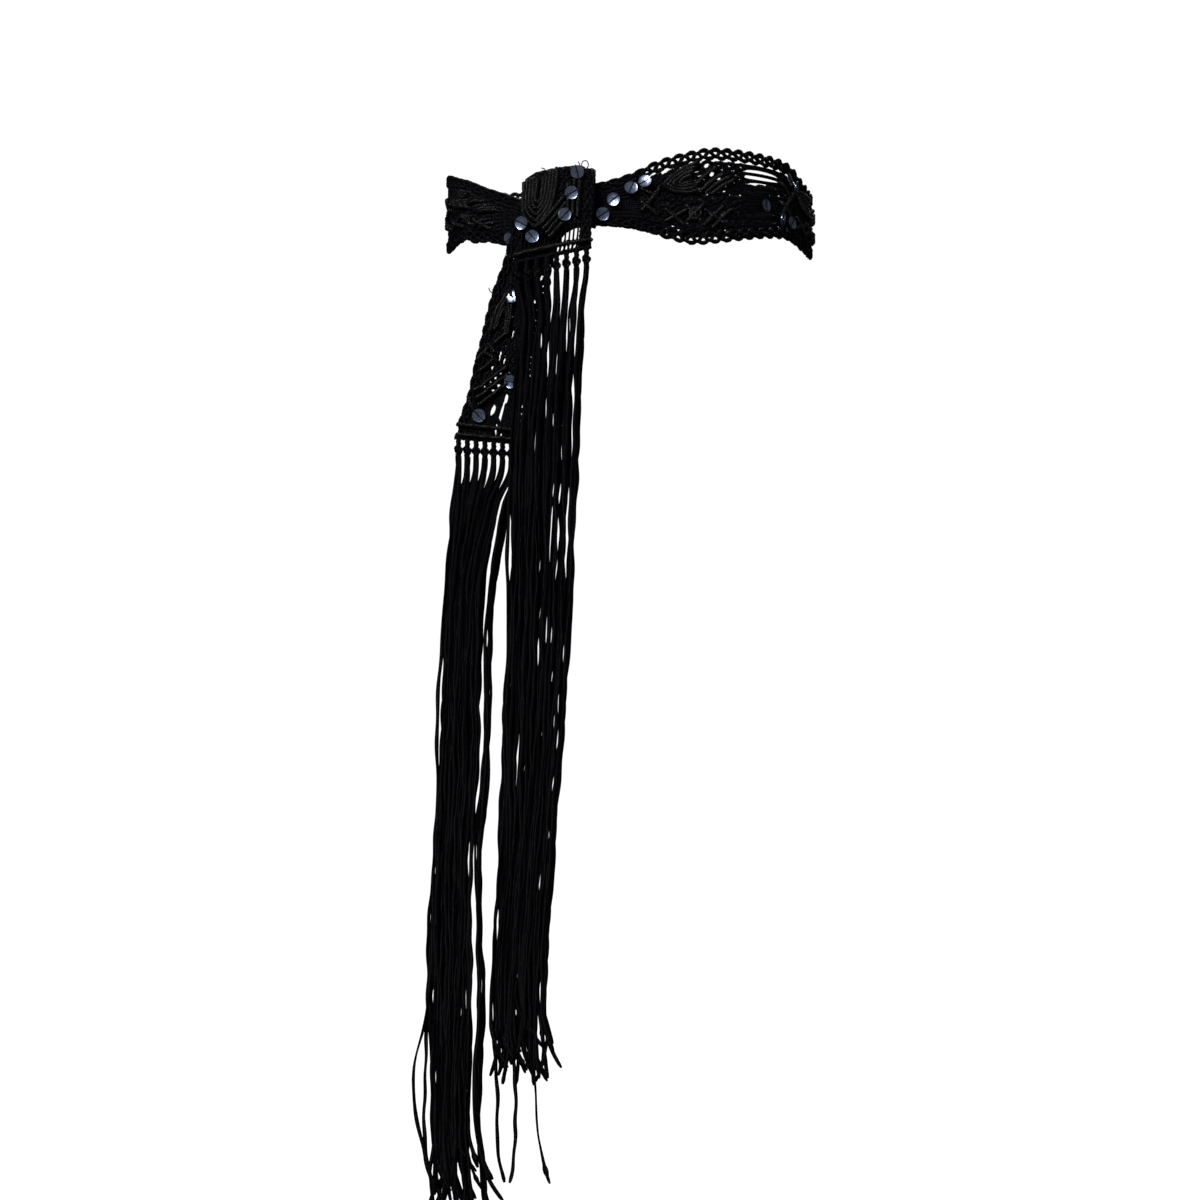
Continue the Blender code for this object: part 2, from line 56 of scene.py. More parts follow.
# The view, the floor and the light
# The camera is level and looks at the belt from the front, below the waist and a little towards the fringes.
# The floor is a wide pale dish, so that every view of the belt has the same plain ground behind it.
CAMERA_PLACE = (-0.0206, -1.6, -0.2765)
CAMERA_LENS = 68.57
DISH_MIDDLE_RADIUS = 0.02
DISH_FLAT_RADIUS = 2.4
DISH_BEND_RADIUS = 0.9
DISH_RIM = 2.6
DISH_SIDES = 96
DISH_BEND_STEPS = 16
FLOOR_DROP = 0.020
FLOOR_GREY = (0.14, 0.141, 0.142)
FLOOR_GLOW = 1.0
SKY_STRENGTH = 0.10
LIT_SPOT = (-0.05, -0.1, -0.1)
Lamp = namedtuple("Lamp", "name place size power")
LAMPS = (
    Lamp("key", (-0.9, -1.5, 1.1), 0.5, 44.0),
    Lamp("fill", (1.5, -1.2, 0.3), 0.6, 7.0),
    Lamp("back", (0.4, 1.9, 1.2), 1.2, 14.0),
)


def put_in_scene(name, data):
    """A camera, light or mesh as an object of the scene."""
    thing = bpy.data.objects.new(name, data)
    bpy.context.scene.collection.objects.link(thing)
    return thing


camera = put_in_scene("camera", bpy.data.cameras.new("camera"))
camera.data.lens = CAMERA_LENS
camera.location = CAMERA_PLACE
camera.rotation_euler = (math.pi / 2, 0.0, 0.0)
bpy.context.scene.camera = camera


def plain_material(name, colour, roughness):
    """A material with its own colour and roughness, and nothing else set yet."""
    material = bpy.data.materials.new(name)
    material.use_nodes = True
    shader = material.node_tree.nodes["Principled BSDF"]
    shader.inputs["Base Color"].default_value = (*colour, 1.0)
    shader.inputs["Roughness"].default_value = roughness
    return material


def floor_material():
    """Matt grey that glows white for the camera alone, as a backdrop with lights of its own does."""
    material = plain_material("pale_floor", colour=FLOOR_GREY, roughness=0.9)
    tree = material.node_tree
    shader = tree.nodes["Principled BSDF"]
    shader.inputs["Emission Color"].default_value = (1.0, 1.0, 1.0, 1.0)
    ray = tree.nodes.new("ShaderNodeLightPath")
    glow = tree.nodes.new("ShaderNodeMath")
    glow.operation = "MULTIPLY"
    glow.inputs[1].default_value = FLOOR_GLOW
    tree.links.new(ray.outputs["Is Camera Ray"], glow.inputs[0])
    tree.links.new(glow.outputs[0], shader.inputs["Emission Strength"])
    return material


def floor_dish():
    """A flat round floor whose rim turns up in a smooth bend."""
    bends = [math.pi / 2 * k / DISH_BEND_STEPS for k in range(DISH_BEND_STEPS + 1)]
    profile = [(DISH_MIDDLE_RADIUS, 0.0)] + [
        (DISH_FLAT_RADIUS + DISH_BEND_RADIUS * math.sin(t), DISH_BEND_RADIUS * (1.0 - math.cos(t)))
        for t in bends
    ]
    profile.append((DISH_FLAT_RADIUS + DISH_BEND_RADIUS, DISH_RIM))
    floor_z = cad_low.z - FLOOR_DROP
    points, faces = [], []
    for radius, height in profile:
        for k in range(DISH_SIDES):
            turn = math.tau * k / DISH_SIDES
            points.append((radius * math.cos(turn), radius * math.sin(turn), floor_z + height))
    for ring in range(len(profile) - 1):
        for k in range(DISH_SIDES):
            after = (k + 1) % DISH_SIDES
            low, high = ring * DISH_SIDES, (ring + 1) * DISH_SIDES
            faces.append((low + k, high + k, high + after, low + after))
    faces.append(tuple(range(DISH_SIDES)))
    mesh = bpy.data.meshes.new("floor")
    mesh.from_pydata(points, [], faces)
    mesh.shade_smooth()
    mesh.materials.append(floor_material())
    put_in_scene("floor", mesh)


def soft_light(lamp):
    """A square soft light that points at the knot and the fringe below it."""
    area = bpy.data.lights.new(lamp.name, "AREA")
    area.shape = "SQUARE"
    area.size = lamp.size
    area.energy = lamp.power
    light = put_in_scene(lamp.name, area)
    light.location = lamp.place
    light.rotation_euler = (Vector(LIT_SPOT) - Vector(lamp.place)).to_track_quat("-Z", "Y").to_euler()


floor_dish()
for lamp in LAMPS:
    soft_light(lamp)
sky = bpy.data.worlds.new("sky")
sky.use_nodes = True
sky.node_tree.nodes["Background"].inputs["Color"].default_value = (1.0, 1.0, 1.0, 1.0)
sky.node_tree.nodes["Background"].inputs["Strength"].default_value = SKY_STRENGTH
bpy.context.scene.world = sky
bpy.context.scene.view_settings.view_transform = "Standard"

# The way the strip lies: round the waist, under the knot and down as the tail, and over the knot as the flap
# One knotted strip 65 mm wide makes the whole belt. It is flat on the hip and bunched where it is tied.
# A place on it is its run along the strip, how far across it is from the middle line, and how far out.
WAIST_HALF_WIDTH = 0.1250
WAIST_HALF_DEPTH = 0.0875
STRIP_HALF = 0.0325
EDGE_WIDTH = 0.0096
EDGE_SHARE = 0.24
GROUND_HALF = STRIP_HALF - EDGE_WIDTH
CLOTH = 0.0018
BAND_START = -13.0
BAND_END = 324.0
ANGLE_STEP = 0.5

Height = namedtuple("Height", "angle lower upper lift")
BAND_HEIGHTS = (
    Height(-14.0, -0.0300, -0.0005, 0.0030),
    Height(-9.4, -0.0303, 0.0001, 0.0026),
    Height(0.0, -0.0330, 0.0072, 0.0012),
    Height(9.0, -0.0374, 0.0158, 0.0),
    Height(18.5, -0.0415, 0.0220, 0.0),
    Height(26.0, -0.0401, 0.0250, 0.0),
    Height(44.0, -0.0345, 0.0239, 0.0),
    Height(58.0, -0.0330, 0.0205, 0.0),
    Height(69.0, -0.0380, 0.0114, 0.0),
    Height(83.0, -0.0405, 0.0065, 0.0),
    Height(96.0, -0.0345, 0.0100, 0.0),
    Height(108.0, -0.0255, 0.0165, 0.0),
    Height(120.0, -0.0165, 0.0225, 0.0),
    Height(150.0, -0.0110, 0.0290, 0.0),
    Height(165.0, -0.0090, 0.0305, 0.0),
    Height(180.0, -0.0015, 0.0325, 0.0),
    Height(195.0, -0.0020, 0.0320, 0.0),
    Height(210.0, -0.0080, 0.0260, 0.0),
    Height(225.0, -0.0150, 0.0200, 0.0),
    Height(240.0, -0.0175, 0.0220, 0.0),
    Height(252.0, -0.0235, 0.0235, 0.0),
    Height(262.0, -0.0310, 0.0215, 0.0),
    Height(272.0, -0.0352, 0.0200, 0.0),
    Height(282.0, -0.0364, 0.0176, 0.0),
    Height(297.0, -0.0324, 0.0120, 0.0),
    Height(304.0, -0.0353, 0.0076, 0.0),
    Height(310.0, -0.0360, 0.0032, 0.0),
    Height(315.4, -0.0390, -0.0004, 0.0),
    Height(324.0, -0.0425, -0.0071, 0.0),
)
TailRow = namedtuple("TailRow", "run outer_x outer_z inner_x inner_z y")
TAIL_ROWS = (
    TailRow(0.000, -0.0289, -0.0005, -0.0289, -0.0300, -0.0889),
    TailRow(0.013, -0.0440, -0.0018, -0.0380, -0.0325, -0.0893),
    TailRow(0.026, -0.0600, -0.0070, -0.0450, -0.0380, -0.0897),
    TailRow(0.040, -0.0735, -0.0200, -0.0490, -0.0470, -0.0907),
    TailRow(0.055, -0.0815, -0.0380, -0.0510, -0.0580, -0.0925),
    TailRow(0.071, -0.0865, -0.0560, -0.0530, -0.0710, -0.0945),
    TailRow(0.085, -0.0925, -0.0720, -0.0560, -0.0830, -0.0957),
    TailRow(0.100, -0.0970, -0.0880, -0.0580, -0.0960, -0.0967),
    TailRow(0.116, -0.1005, -0.1040, -0.0600, -0.1110, -0.0977),
    TailRow(0.134, -0.1050, -0.1220, -0.0620, -0.1280, -0.0988),
    TailRow(0.154, -0.1095, -0.1430, -0.0655, -0.1470, -0.0998),
    TailRow(0.170, -0.1150, -0.1592, -0.0690, -0.1640, -0.1006),
    TailRow(0.178, -0.1160, -0.1690, -0.0700, -0.1728, -0.1010),
)
TAIL_LENGTH = TAIL_ROWS[-1].run

FlapTop = namedtuple("FlapTop", "share height")
FLAP_TOPS = (
    FlapTop(0.0, -0.0030),
    FlapTop(0.08, 0.0022),
    FlapTop(0.22, 0.0060),
    FlapTop(0.70, 0.0095),
    FlapTop(0.94, 0.0068),
    FlapTop(1.0, 0.0040),
)
FLAP_TOP_LEFT = -0.0720
FLAP_TOP_RIGHT = -0.0222
FLAP_END_LEFT = -0.0785
FLAP_END_RIGHT = -0.0262
FLAP_END_LEFT_Z = -0.0550
FLAP_END_RIGHT_Z = -0.0437
FLAP_FRONT_Y = -0.0970
FLAP_FRONT_LENGTH = 0.052
FLAP_LEAN = 0.055
FLAP_REAR_LENGTH = 0.028
FLAP_TURN_LENGTH = 0.024
FLAP_TURN_RISE = 0.0060
FLAP_LEFT_FOLD = 0.0235
FLAP_SPAN = FLAP_LEFT_FOLD + STRIP_HALF


def smooth(table, keys):
    """The other columns of a table at places along its first column, on smooth curves through its rows."""
    rows = np.array(table, float)
    last = len(rows) - 1
    keys = np.clip(np.asarray(keys, float), rows[0, 0], rows[last, 0])
    k = np.clip(np.searchsorted(rows[:, 0], keys, side="right") - 1, 0, last - 1)
    before, start = rows[np.maximum(k - 1, 0)], rows[k]
    end, after = rows[k + 1], rows[np.minimum(k + 2, last)]
    step = end[:, :1] - start[:, :1]
    t = (keys[:, None] - start[:, :1]) / step
    slope_start = (end - before) / (end[:, :1] - before[:, :1]) * step
    slope_end = (after - start) / (after[:, :1] - start[:, :1]) * step
    values = (
        (2 * t**3 - 3 * t**2 + 1) * start
        + (t**3 - 2 * t**2 + t) * slope_start
        + (3 * t**2 - 2 * t**3) * end
        + (t**3 - t**2) * slope_end
    )
    return values[:, 1:].T


def waist_lengths():
    """Angles round the waist, and the length of cloth from the strip's start to each."""
    angles = np.arange(BAND_START, BAND_END + ANGLE_STEP / 2, ANGLE_STEP)
    turns = np.radians(angles)
    spots = np.stack([WAIST_HALF_WIDTH * np.sin(turns), -WAIST_HALF_DEPTH * np.cos(turns)], axis=1)
    steps = np.linalg.norm(np.diff(spots, axis=0), axis=1)
    return angles, np.concatenate([[0.0], np.cumsum(steps)])


WAIST_ANGLES, WAIST_RUNS = waist_lengths()
BAND_LENGTH = WAIST_RUNS[-1]


def height_share(across, width):
    """How far up a strip this wide a place lies. Looped edges keep more of their width than the ground."""
    edge = np.minimum(EDGE_WIDTH / width, EDGE_SHARE)
    beyond = np.clip(np.abs(across) - GROUND_HALF, 0.0, None) / EDGE_WIDTH * edge
    within = np.clip(across, -GROUND_HALF, GROUND_HALF) / GROUND_HALF * (0.5 - edge)
    return 0.5 + within + np.sign(across) * beyond


def waist_place(run, across, out):
    """A place of the strip round the waist."""
    angle = np.interp(run, WAIST_RUNS, WAIST_ANGLES)
    lower, upper, lift = smooth(BAND_HEIGHTS, angle)
    z = lower + (upper - lower) * height_share(across, upper - lower)
    turn = np.radians(angle)
    out = out + lift
    x = (WAIST_HALF_WIDTH + out) * np.sin(turn)
    y = -(WAIST_HALF_DEPTH + out) * np.cos(turn)
    return np.stack([x, y, z], axis=1)


def tail_place(run, across, out):
    """A place of the end that passes under the knot and hangs."""
    outer_x, outer_z, inner_x, inner_z, y = smooth(TAIL_ROWS, run)
    share = height_share(across, np.hypot(outer_x - inner_x, outer_z - inner_z))
    x = inner_x + (outer_x - inner_x) * share
    z = inner_z + (outer_z - inner_z) * share
    return np.stack([x, y - out, z], axis=1)


def flap_place(run, across, out):
    """A place of the end that goes up behind the knot, over it and down; its run is 0 at the front's top."""
    share = (FLAP_LEFT_FOLD - across) / FLAP_SPAN
    top_z = smooth(FLAP_TOPS, share)[0] - FLAP_TURN_RISE - CLOTH
    end_z = FLAP_END_LEFT_Z + (FLAP_END_RIGHT_Z - FLAP_END_LEFT_Z) * share
    down = np.where(run > 0.0, run * (top_z - end_z) / FLAP_FRONT_LENGTH, run)
    lean = np.clip(down, 0.0, None) / FLAP_FRONT_LENGTH
    left = FLAP_TOP_LEFT + (FLAP_END_LEFT - FLAP_TOP_LEFT) * lean
    right = FLAP_TOP_RIGHT + (FLAP_END_RIGHT - FLAP_TOP_RIGHT) * lean
    x = left + (right - left) * share
    rear_y = -WAIST_HALF_DEPTH * np.sqrt(1.0 - (x / WAIST_HALF_WIDTH) ** 2) - CLOTH
    turn = math.pi * np.clip(1.0 + down / FLAP_TURN_LENGTH, 0.0, 1.0)
    half = (rear_y - FLAP_FRONT_Y) / 2
    y = (rear_y + FLAP_FRONT_Y) / 2 + (half + out) * np.cos(turn)
    z = top_z + (FLAP_TURN_RISE + out) * np.sin(turn)
    y = y - FLAP_LEAN * np.clip(down, 0.0, None)
    z = z - np.clip(down, 0.0, None) + np.clip(down + FLAP_TURN_LENGTH, None, 0.0)
    return np.stack([x, y, z], axis=1)


# The braided rayon cord, and how every piece of it is made
# The belt is knotted from soft black rayon cord, braided round a core, with a satin shine.
# A cord is a tube along its way over the cloth. Its UV map holds its length in metres and its turn from
# 0 to 1, which the braid follows.
CORD_NAVY = (0.0006, 0.0008, 0.0026, 1.0)
CORD_BROWN = (0.0022, 0.0016, 0.0018, 1.0)
CORD_SHEEN = 0.01
CORD_SHEEN_ROUGHNESS = 0.35
CORD_SHEEN_TINT = (0.55, 0.56, 0.66, 1.0)
CORD_RELIEF = 0.8
TINT_CLOUD_SCALE = 70.0
FUZZ_SCALE = 2600.0
# Painted shade on the braid: how much darker the grooves between plaits are than the crowns, and the level
# the colour starts from.
PLAIT_PAINTED_SHADE = 0.22
PLAIT_PAINTED_SHADE_BASE = 0.86
CLOUD_ROUGHNESS = 0.26
NUDGE = 0.001


def new_group(name, inputs, outputs):
    """An empty shader node group with named sockets, and its input and output nodes."""
    group = bpy.data.node_groups.new(name, "ShaderNodeTree")
    for label, value in inputs.items():
        socket = group.interface.new_socket(label, in_out="INPUT", socket_type="NodeSocketFloat")
        socket.default_value = value
    for label, kind in outputs.items():
        group.interface.new_socket(label, in_out="OUTPUT", socket_type=kind)
    return group, group.nodes.new("NodeGroupInput"), group.nodes.new("NodeGroupOutput")


def put_math(group, operation, first, second=0.0):
    """A Math node of one operation on two values or sockets; puts out its result."""
    node = group.nodes.new("ShaderNodeMath")
    node.operation = operation
    for socket, value in zip(node.inputs, (first, second)):
        if isinstance(value, (int, float)):
            socket.default_value = value
        else:
            group.links.new(value, socket)
    return node.outputs[0]


def noise_over(tree, place, scale, detail):
    """Soft clouds or fine grain over the object; puts out values from 0 to 1."""
    noise = tree.nodes.new("ShaderNodeTexNoise")
    noise.inputs["Scale"].default_value = scale
    noise.inputs["Detail"].default_value = detail
    tree.links.new(place.outputs["Object"], noise.inputs["Vector"])
    return noise.outputs["Fac"]


def braid_group():
    """A round braid: crossing plaits along the cord, slow changes of colour, painted shade in the grooves
    between plaits, and fuzz.
    """
    inputs = {"Plait Length": 0.0016, "Plaits Round": 3.0, "Fuzz": 0.4, "Warmth": 0.0, "Roughness": 0.3}
    outputs = {"Colour": "NodeSocketColor", "Roughness": "NodeSocketFloat", "Height": "NodeSocketFloat"}
    group, entry, exit_node = new_group("braided_rayon", inputs, outputs)
    uv = group.nodes.new("ShaderNodeUVMap")
    uv.uv_map = "braid"
    parts = group.nodes.new("ShaderNodeSeparateXYZ")
    group.links.new(uv.outputs["UV"], parts.inputs[0])
    along = put_math(group, "DIVIDE", parts.outputs["X"], entry.outputs["Plait Length"])
    round_it = put_math(group, "MULTIPLY", parts.outputs["Y"], entry.outputs["Plaits Round"])
    right_hand = put_math(group, "ADD", along, round_it)
    left_hand = put_math(group, "SUBTRACT", along, round_it)
    wave_right = put_math(group, "SINE", put_math(group, "MULTIPLY", right_hand, math.tau))
    wave_left = put_math(group, "SINE", put_math(group, "MULTIPLY", left_hand, math.tau))
    plait = put_math(group, "MAXIMUM", wave_right, wave_left)
    place = group.nodes.new("ShaderNodeTexCoord")
    clouds = noise_over(group, place, TINT_CLOUD_SCALE, detail=2.0)
    grain = noise_over(group, place, FUZZ_SCALE, detail=1.0)
    tint = group.nodes.new("ShaderNodeMix")
    tint.data_type = "RGBA"
    tint.inputs["A"].default_value = CORD_NAVY
    tint.inputs["B"].default_value = CORD_BROWN
    warmth = put_math(group, "ADD", clouds, entry.outputs["Warmth"])
    group.links.new(warmth, tint.inputs["Factor"])
    # Painted shade: the colour is multiplied by the plait wave, so it is darker in the grooves and lighter on
    # the crowns.
    lit = group.nodes.new("ShaderNodeMix")
    lit.data_type = "RGBA"
    lit.blend_type = "MULTIPLY"
    lit.inputs["Factor"].default_value = 1.0
    shade = put_math(group, "MULTIPLY_ADD", plait, PLAIT_PAINTED_SHADE)
    shade.node.inputs[2].default_value = PLAIT_PAINTED_SHADE_BASE
    shade_colour = group.nodes.new("ShaderNodeCombineColor")
    for channel in ("Red", "Green", "Blue"):
        group.links.new(shade, shade_colour.inputs[channel])
    group.links.new(tint.outputs["Result"], lit.inputs["A"])
    group.links.new(shade_colour.outputs["Color"], lit.inputs["B"])
    group.links.new(lit.outputs["Result"], exit_node.inputs["Colour"])
    rough = put_math(group, "MULTIPLY_ADD", clouds, CLOUD_ROUGHNESS)
    group.links.new(entry.outputs["Roughness"], rough.node.inputs[2])
    group.links.new(rough, exit_node.inputs["Roughness"])
    fuzz = put_math(group, "MULTIPLY", grain, entry.outputs["Fuzz"])
    group.links.new(put_math(group, "ADD", plait, fuzz), exit_node.inputs["Height"])
    return group


BRAID = braid_group()
Braid = namedtuple("Braid", "plait_length plaits_round depth shine roughness warmth")


def braided_material(name, braid_of):
    """Black rayon braided in this way, with a soft shine."""
    material = plain_material(name, colour=CORD_NAVY[:3], roughness=0.4)
    tree = material.node_tree
    shader = tree.nodes["Principled BSDF"]
    shader.inputs["Sheen Weight"].default_value = CORD_SHEEN
    shader.inputs["Sheen Roughness"].default_value = CORD_SHEEN_ROUGHNESS
    shader.inputs["Sheen Tint"].default_value = CORD_SHEEN_TINT
    shader.inputs["Specular IOR Level"].default_value = braid_of.shine
    braid = tree.nodes.new("ShaderNodeGroup")
    braid.node_tree = BRAID
    braid.inputs["Plait Length"].default_value = braid_of.plait_length
    braid.inputs["Plaits Round"].default_value = braid_of.plaits_round
    braid.inputs["Warmth"].default_value = braid_of.warmth
    braid.inputs["Roughness"].default_value = braid_of.roughness
    relief = tree.nodes.new("ShaderNodeBump")
    relief.inputs["Strength"].default_value = CORD_RELIEF
    relief.inputs["Distance"].default_value = braid_of.depth
    tree.links.new(braid.outputs["Colour"], shader.inputs["Base Color"])
    tree.links.new(braid.outputs["Roughness"], shader.inputs["Roughness"])
    tree.links.new(braid.outputs["Height"], relief.inputs["Height"])
    tree.links.new(relief.outputs["Normal"], shader.inputs["Normal"])
    return material


KNOTTED_RAYON = braided_material("knotted_rayon", Braid(0.0017, 3.0, 0.00022, 0.06, 0.26, 0.0))
# The ribs are the same cord as the ground. Their warmth of 0.3 makes a browner, slightly lighter colour,
# which is a painted warm highlight on the raised ribs.
RIB_RAYON = braided_material("rib_rayon", Braid(0.0017, 3.0, 0.00020, 0.20, 0.20, 0.3))


def unit(vectors):
    """The same directions with length 1."""
    return vectors / np.linalg.norm(vectors, axis=1, keepdims=True)


def cord_lengths(path):
    """The length of cord from its start to each point of its path."""
    steps = np.linalg.norm(np.diff(path, axis=0), axis=1)
    return np.concatenate([[0.0], np.cumsum(steps)])


class Skein:
    """Cords that make one piece: tubes of any thickness, gathered into one mesh."""

    def __init__(self):
        self.points, self.quads, self.caps, self.quad_maps = [], [], [], []
        self.count = 0

    def add(self, path, outward, radius, sides=6, flatness=1.0, turn=0.0, ply=0.0, ply_pitch=0.002, hand=1.0):
        """A cord along a path. ply is how far its plies stand out as they wind round it with a pitch."""
        path = np.asarray(path, float)
        tangent = unit(np.gradient(path, axis=0))
        side = unit(np.cross(tangent, outward))
        up = np.cross(side, tangent)
        length = cord_lengths(path)
        rows = len(path)
        spokes = math.tau * (np.arange(sides) + 0.5) / sides
        radius = np.broadcast_to(radius, rows)[:, None]
        ply = np.broadcast_to(ply, rows)[:, None]
        flatness = np.broadcast_to(flatness, rows)[:, None]
        relief = 1.0 + ply * np.cos(math.tau * length[:, None] / ply_pitch - hand * spokes)
        wide = np.cos(spokes) * radius * relief
        thick = np.sin(spokes) * radius * relief * flatness
        turned = np.broadcast_to(turn, rows)[:, None]
        across = wide * np.cos(turned) - thick * np.sin(turned)
        above = wide * np.sin(turned) + thick * np.cos(turned)
        ring = path[:, None] + across[:, :, None] * side[:, None] + above[:, :, None] * up[:, None]
        first = self.count + np.arange(rows - 1)[:, None] * sides
        here = np.arange(sides)
        after = (here + 1) % sides
        quads = np.stack([first + here, first + after, first + sides + after, first + sides + here], axis=2)
        self.points.append(ring.reshape(-1, 3))
        self.quads.append(quads.reshape(-1, 4))
        self.caps.append(tuple(range(self.count + sides - 1, self.count - 1, -1)))
        last = self.count + (rows - 1) * sides
        self.caps.append(tuple(range(last, last + sides)))
        along = np.broadcast_to(length[:-1, None], (rows - 1, sides))
        beyond = np.broadcast_to(length[1:, None], (rows - 1, sides))
        low = np.broadcast_to(here / sides, (rows - 1, sides))
        high = low + 1.0 / sides
        corners = np.stack([along, low, along, high, beyond, high, beyond, low], axis=2)
        self.quad_maps.append(corners.reshape(-1, 8))
        self.count += rows * sides

    def finish(self, name, material, node, slot="knotted_cord"):
        """Makes the piece, which takes the place of a node."""
        mesh = bpy.data.meshes.new(name)
        quads = np.concatenate(self.quads)
        mesh.from_pydata(np.concatenate(self.points), [], quads.tolist() + self.caps)
        uv = mesh.uv_layers.new(name="braid")
        values = np.zeros(2 * len(mesh.loops), np.float32)
        flat = np.concatenate(self.quad_maps).ravel()
        values[: len(flat)] = flat
        uv.data.foreach_set("uv", values)
        mesh.shade_smooth()
        mesh.materials.append(material)
        piece = put_in_scene(name, mesh)
        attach(piece, "root")
        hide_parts(node)
        return piece


def over_cloth(place, run, across, out):
    """Points over the cloth, and the way out of it at each."""
    run, across, out = (np.asarray(v, float) for v in np.broadcast_arrays(run, across, out))
    path = place(run, across, out)
    return path, unit(place(run, across, out + NUDGE) - path)


# The knotted ground of the strip: cords side by side, hitched tightly, and pushed apart at the openings
# Sixteen doubled cords run along the strip. Half hitches hold them close together, so the cloth is dense, and
# where the maker skips a hitch they part and leave an opening.
MM = 0.001
GROUND_CORDS = 16
GROUND_STEP = 0.00075
GROUND_RADIUS = 0.00150
GROUND_PLY = 0.17
GROUND_PLY_PITCH = 0.0031
GROUND_OUT = 0.0009
GROUND_WEAVE = 0.00035
OPENING_PULL = 0.0050
GROUND_WANDER = 0.00035
WANDER_TURN = 2.1
HITCH_PITCH = 0.00425
HITCH_SPAN = 0.0036
HITCH_OUT = 0.0010
HITCH_SLANT = 0.0022
HITCH_RADIUS = 0.00086
FLOAT_RADIUS = 0.00118
FLOAT_FADE = 0.0030
LINK_PITCH = 0.0085
REPEAT = 12 * LINK_PITCH
FIRST_REPEAT = 0.048
PART_REACH = 0.0008
PART_ROUNDNESS = 0.35
LOOSE_ENOUGH = 0.3
HITCH_OVERLAP = 0.35

Opening = namedtuple("Opening", "run across half_length half_width")
BAND_OPENINGS = (
    Opening(1, -4, 3.4, 1.0),
    Opening(4, -17, 1.2, 0.7),
    Opening(9, -14, 1.6, 0.8),
    Opening(2, 22, 3.0, 0.7),
    Opening(13, 21, 2.6, 1.2),
    Opening(12, -22, 5.0, 1.3),
    Opening(17, -17, 1.4, 1.0),
    Opening(18, -6, 2.4, 1.1),
    Opening(20, 1, 2.7, 1.0),
    Opening(25, 5, 1.0, 0.8),
    Opening(25, -7, 1.9, 1.2),
    Opening(26, -1, 1.7, 0.8),
    Opening(26, -18, 1.6, 1.5),
    Opening(31, 2, 2.7, 1.0),
    Opening(31, -9, 1.1, 1.1),
    Opening(31, 20, 2.0, 0.7),
    Opening(33, -15, 2.7, 1.4),
    Opening(34, 15, 1.7, 1.1),
    Opening(36, -1, 1.7, 0.8),
    Opening(39, -11, 3.6, 1.5),
    Opening(39, 12, 1.7, 0.7),
    Opening(41, 3, 3.0, 0.7),
    Opening(44, -16, 1.4, 1.2),
    Opening(48, -10, 1.0, 0.9),
    Opening(49, -3, 1.8, 0.6),
    Opening(51, 1, 4.6, 1.0),
    Opening(56, -18, 2.2, 0.7),
    Opening(73, 18, 14.0, 1.1),
    Opening(72, 14, 14.5, 1.3),
    Opening(74, 9, 12.0, 1.1),
    Opening(72, 3, 13.0, 1.1),
    Opening(70, -14, 13.0, 1.1),
    Opening(72, -20, 13.0, 1.1),
    Opening(88, 4, 2.4, 1.3),
    Opening(92, -4, 2.2, 1.3),
    Opening(93, 6, 1.4, 1.0),
    Opening(96, -8, 1.4, 0.8),
    Opening(98, -18, 3.0, 1.2),
    Opening(99, 1, 2.0, 1.1),
)
BAND_FLOATS = ((58.0, 88.0),)


def repeated(rows, repeats, start, spacing):
    """The rows of a table at every repeat along the strip, in metres; each run is counted from there."""
    names = rows[0]._fields
    return [
        [value * MM + (start + spacing * k) * name.startswith("run") for name, value in zip(names, row)]
        for k in repeats
        for row in rows
    ]


def parted(run, across, openings):
    """Where a cord lies across the strip once the openings have pushed it aside."""
    moved = np.full_like(run, across)
    for middle, height, half_length, half_width in openings:
        along = np.clip(1.0 - ((run - middle) / (half_length + PART_REACH)) ** 2, 0.0, 1.0)
        push = (half_width + GROUND_RADIUS) * along**PART_ROUNDNESS
        away = across - height
        near = math.exp(-((away / OPENING_PULL) ** 2))
        moved = moved + near * np.sign(away + 1e-9) * (np.hypot(away, push) - abs(away))
    return np.clip(moved, -GROUND_HALF - PART_REACH, GROUND_HALF + PART_REACH)


def in_zones(run, zones, fade):
    """1 inside any of the zones along the strip, 0 outside them, with a soft edge."""
    amount = np.zeros_like(run)
    for low, high in zones:
        inside = np.clip(np.minimum(run - low, high - run) / fade + 0.5, 0.0, 1.0)
        amount = np.maximum(amount, inside)
    return amount


def knotted_ground(skein, place, start, end, openings, floats, thin=FLOAT_RADIUS):
    """The cords of one stretch, from start to end along the strip; gives back the hitches that bind them."""
    run = np.linspace(start, end, round((end - start) / GROUND_STEP))
    loose = in_zones(run, floats, FLOAT_FADE)
    lines = []
    tight = 1.0 - loose
    phase = math.tau * run / LINK_PITCH
    radius = GROUND_RADIUS + (thin - GROUND_RADIUS) * loose
    for k in range(GROUND_CORDS):
        across = GROUND_HALF * (2.0 * (k + 0.5) / GROUND_CORDS - 1.0)
        line = parted(run, across, openings)
        line = line + tight * GROUND_WANDER * np.sin(phase + WANDER_TURN * k)
        lines.append(line)
        depth = GROUND_OUT + GROUND_WEAVE * (-1) ** k * np.cos(phase) * tight
        path, outward = over_cloth(place, run, line, depth)
        skein.add(path, outward, radius, ply=GROUND_PLY * tight, ply_pitch=GROUND_PLY_PITCH, hand=(-1) ** k)
    hitches = Skein()
    for k in range(GROUND_CORDS - 1):
        first = start + HITCH_PITCH * (0.75 + 0.5 * (k % 2))
        for middle in np.arange(first, end - HITCH_PITCH / 2, HITCH_PITCH):
            low, high = np.interp(middle, run, lines[k]), np.interp(middle, run, lines[k + 1])
            if np.interp(middle, run, loose) < LOOSE_ENOUGH and high - low < HITCH_SPAN:
                hitch(hitches, place, middle, low, high, (-1) ** k)
    return hitches


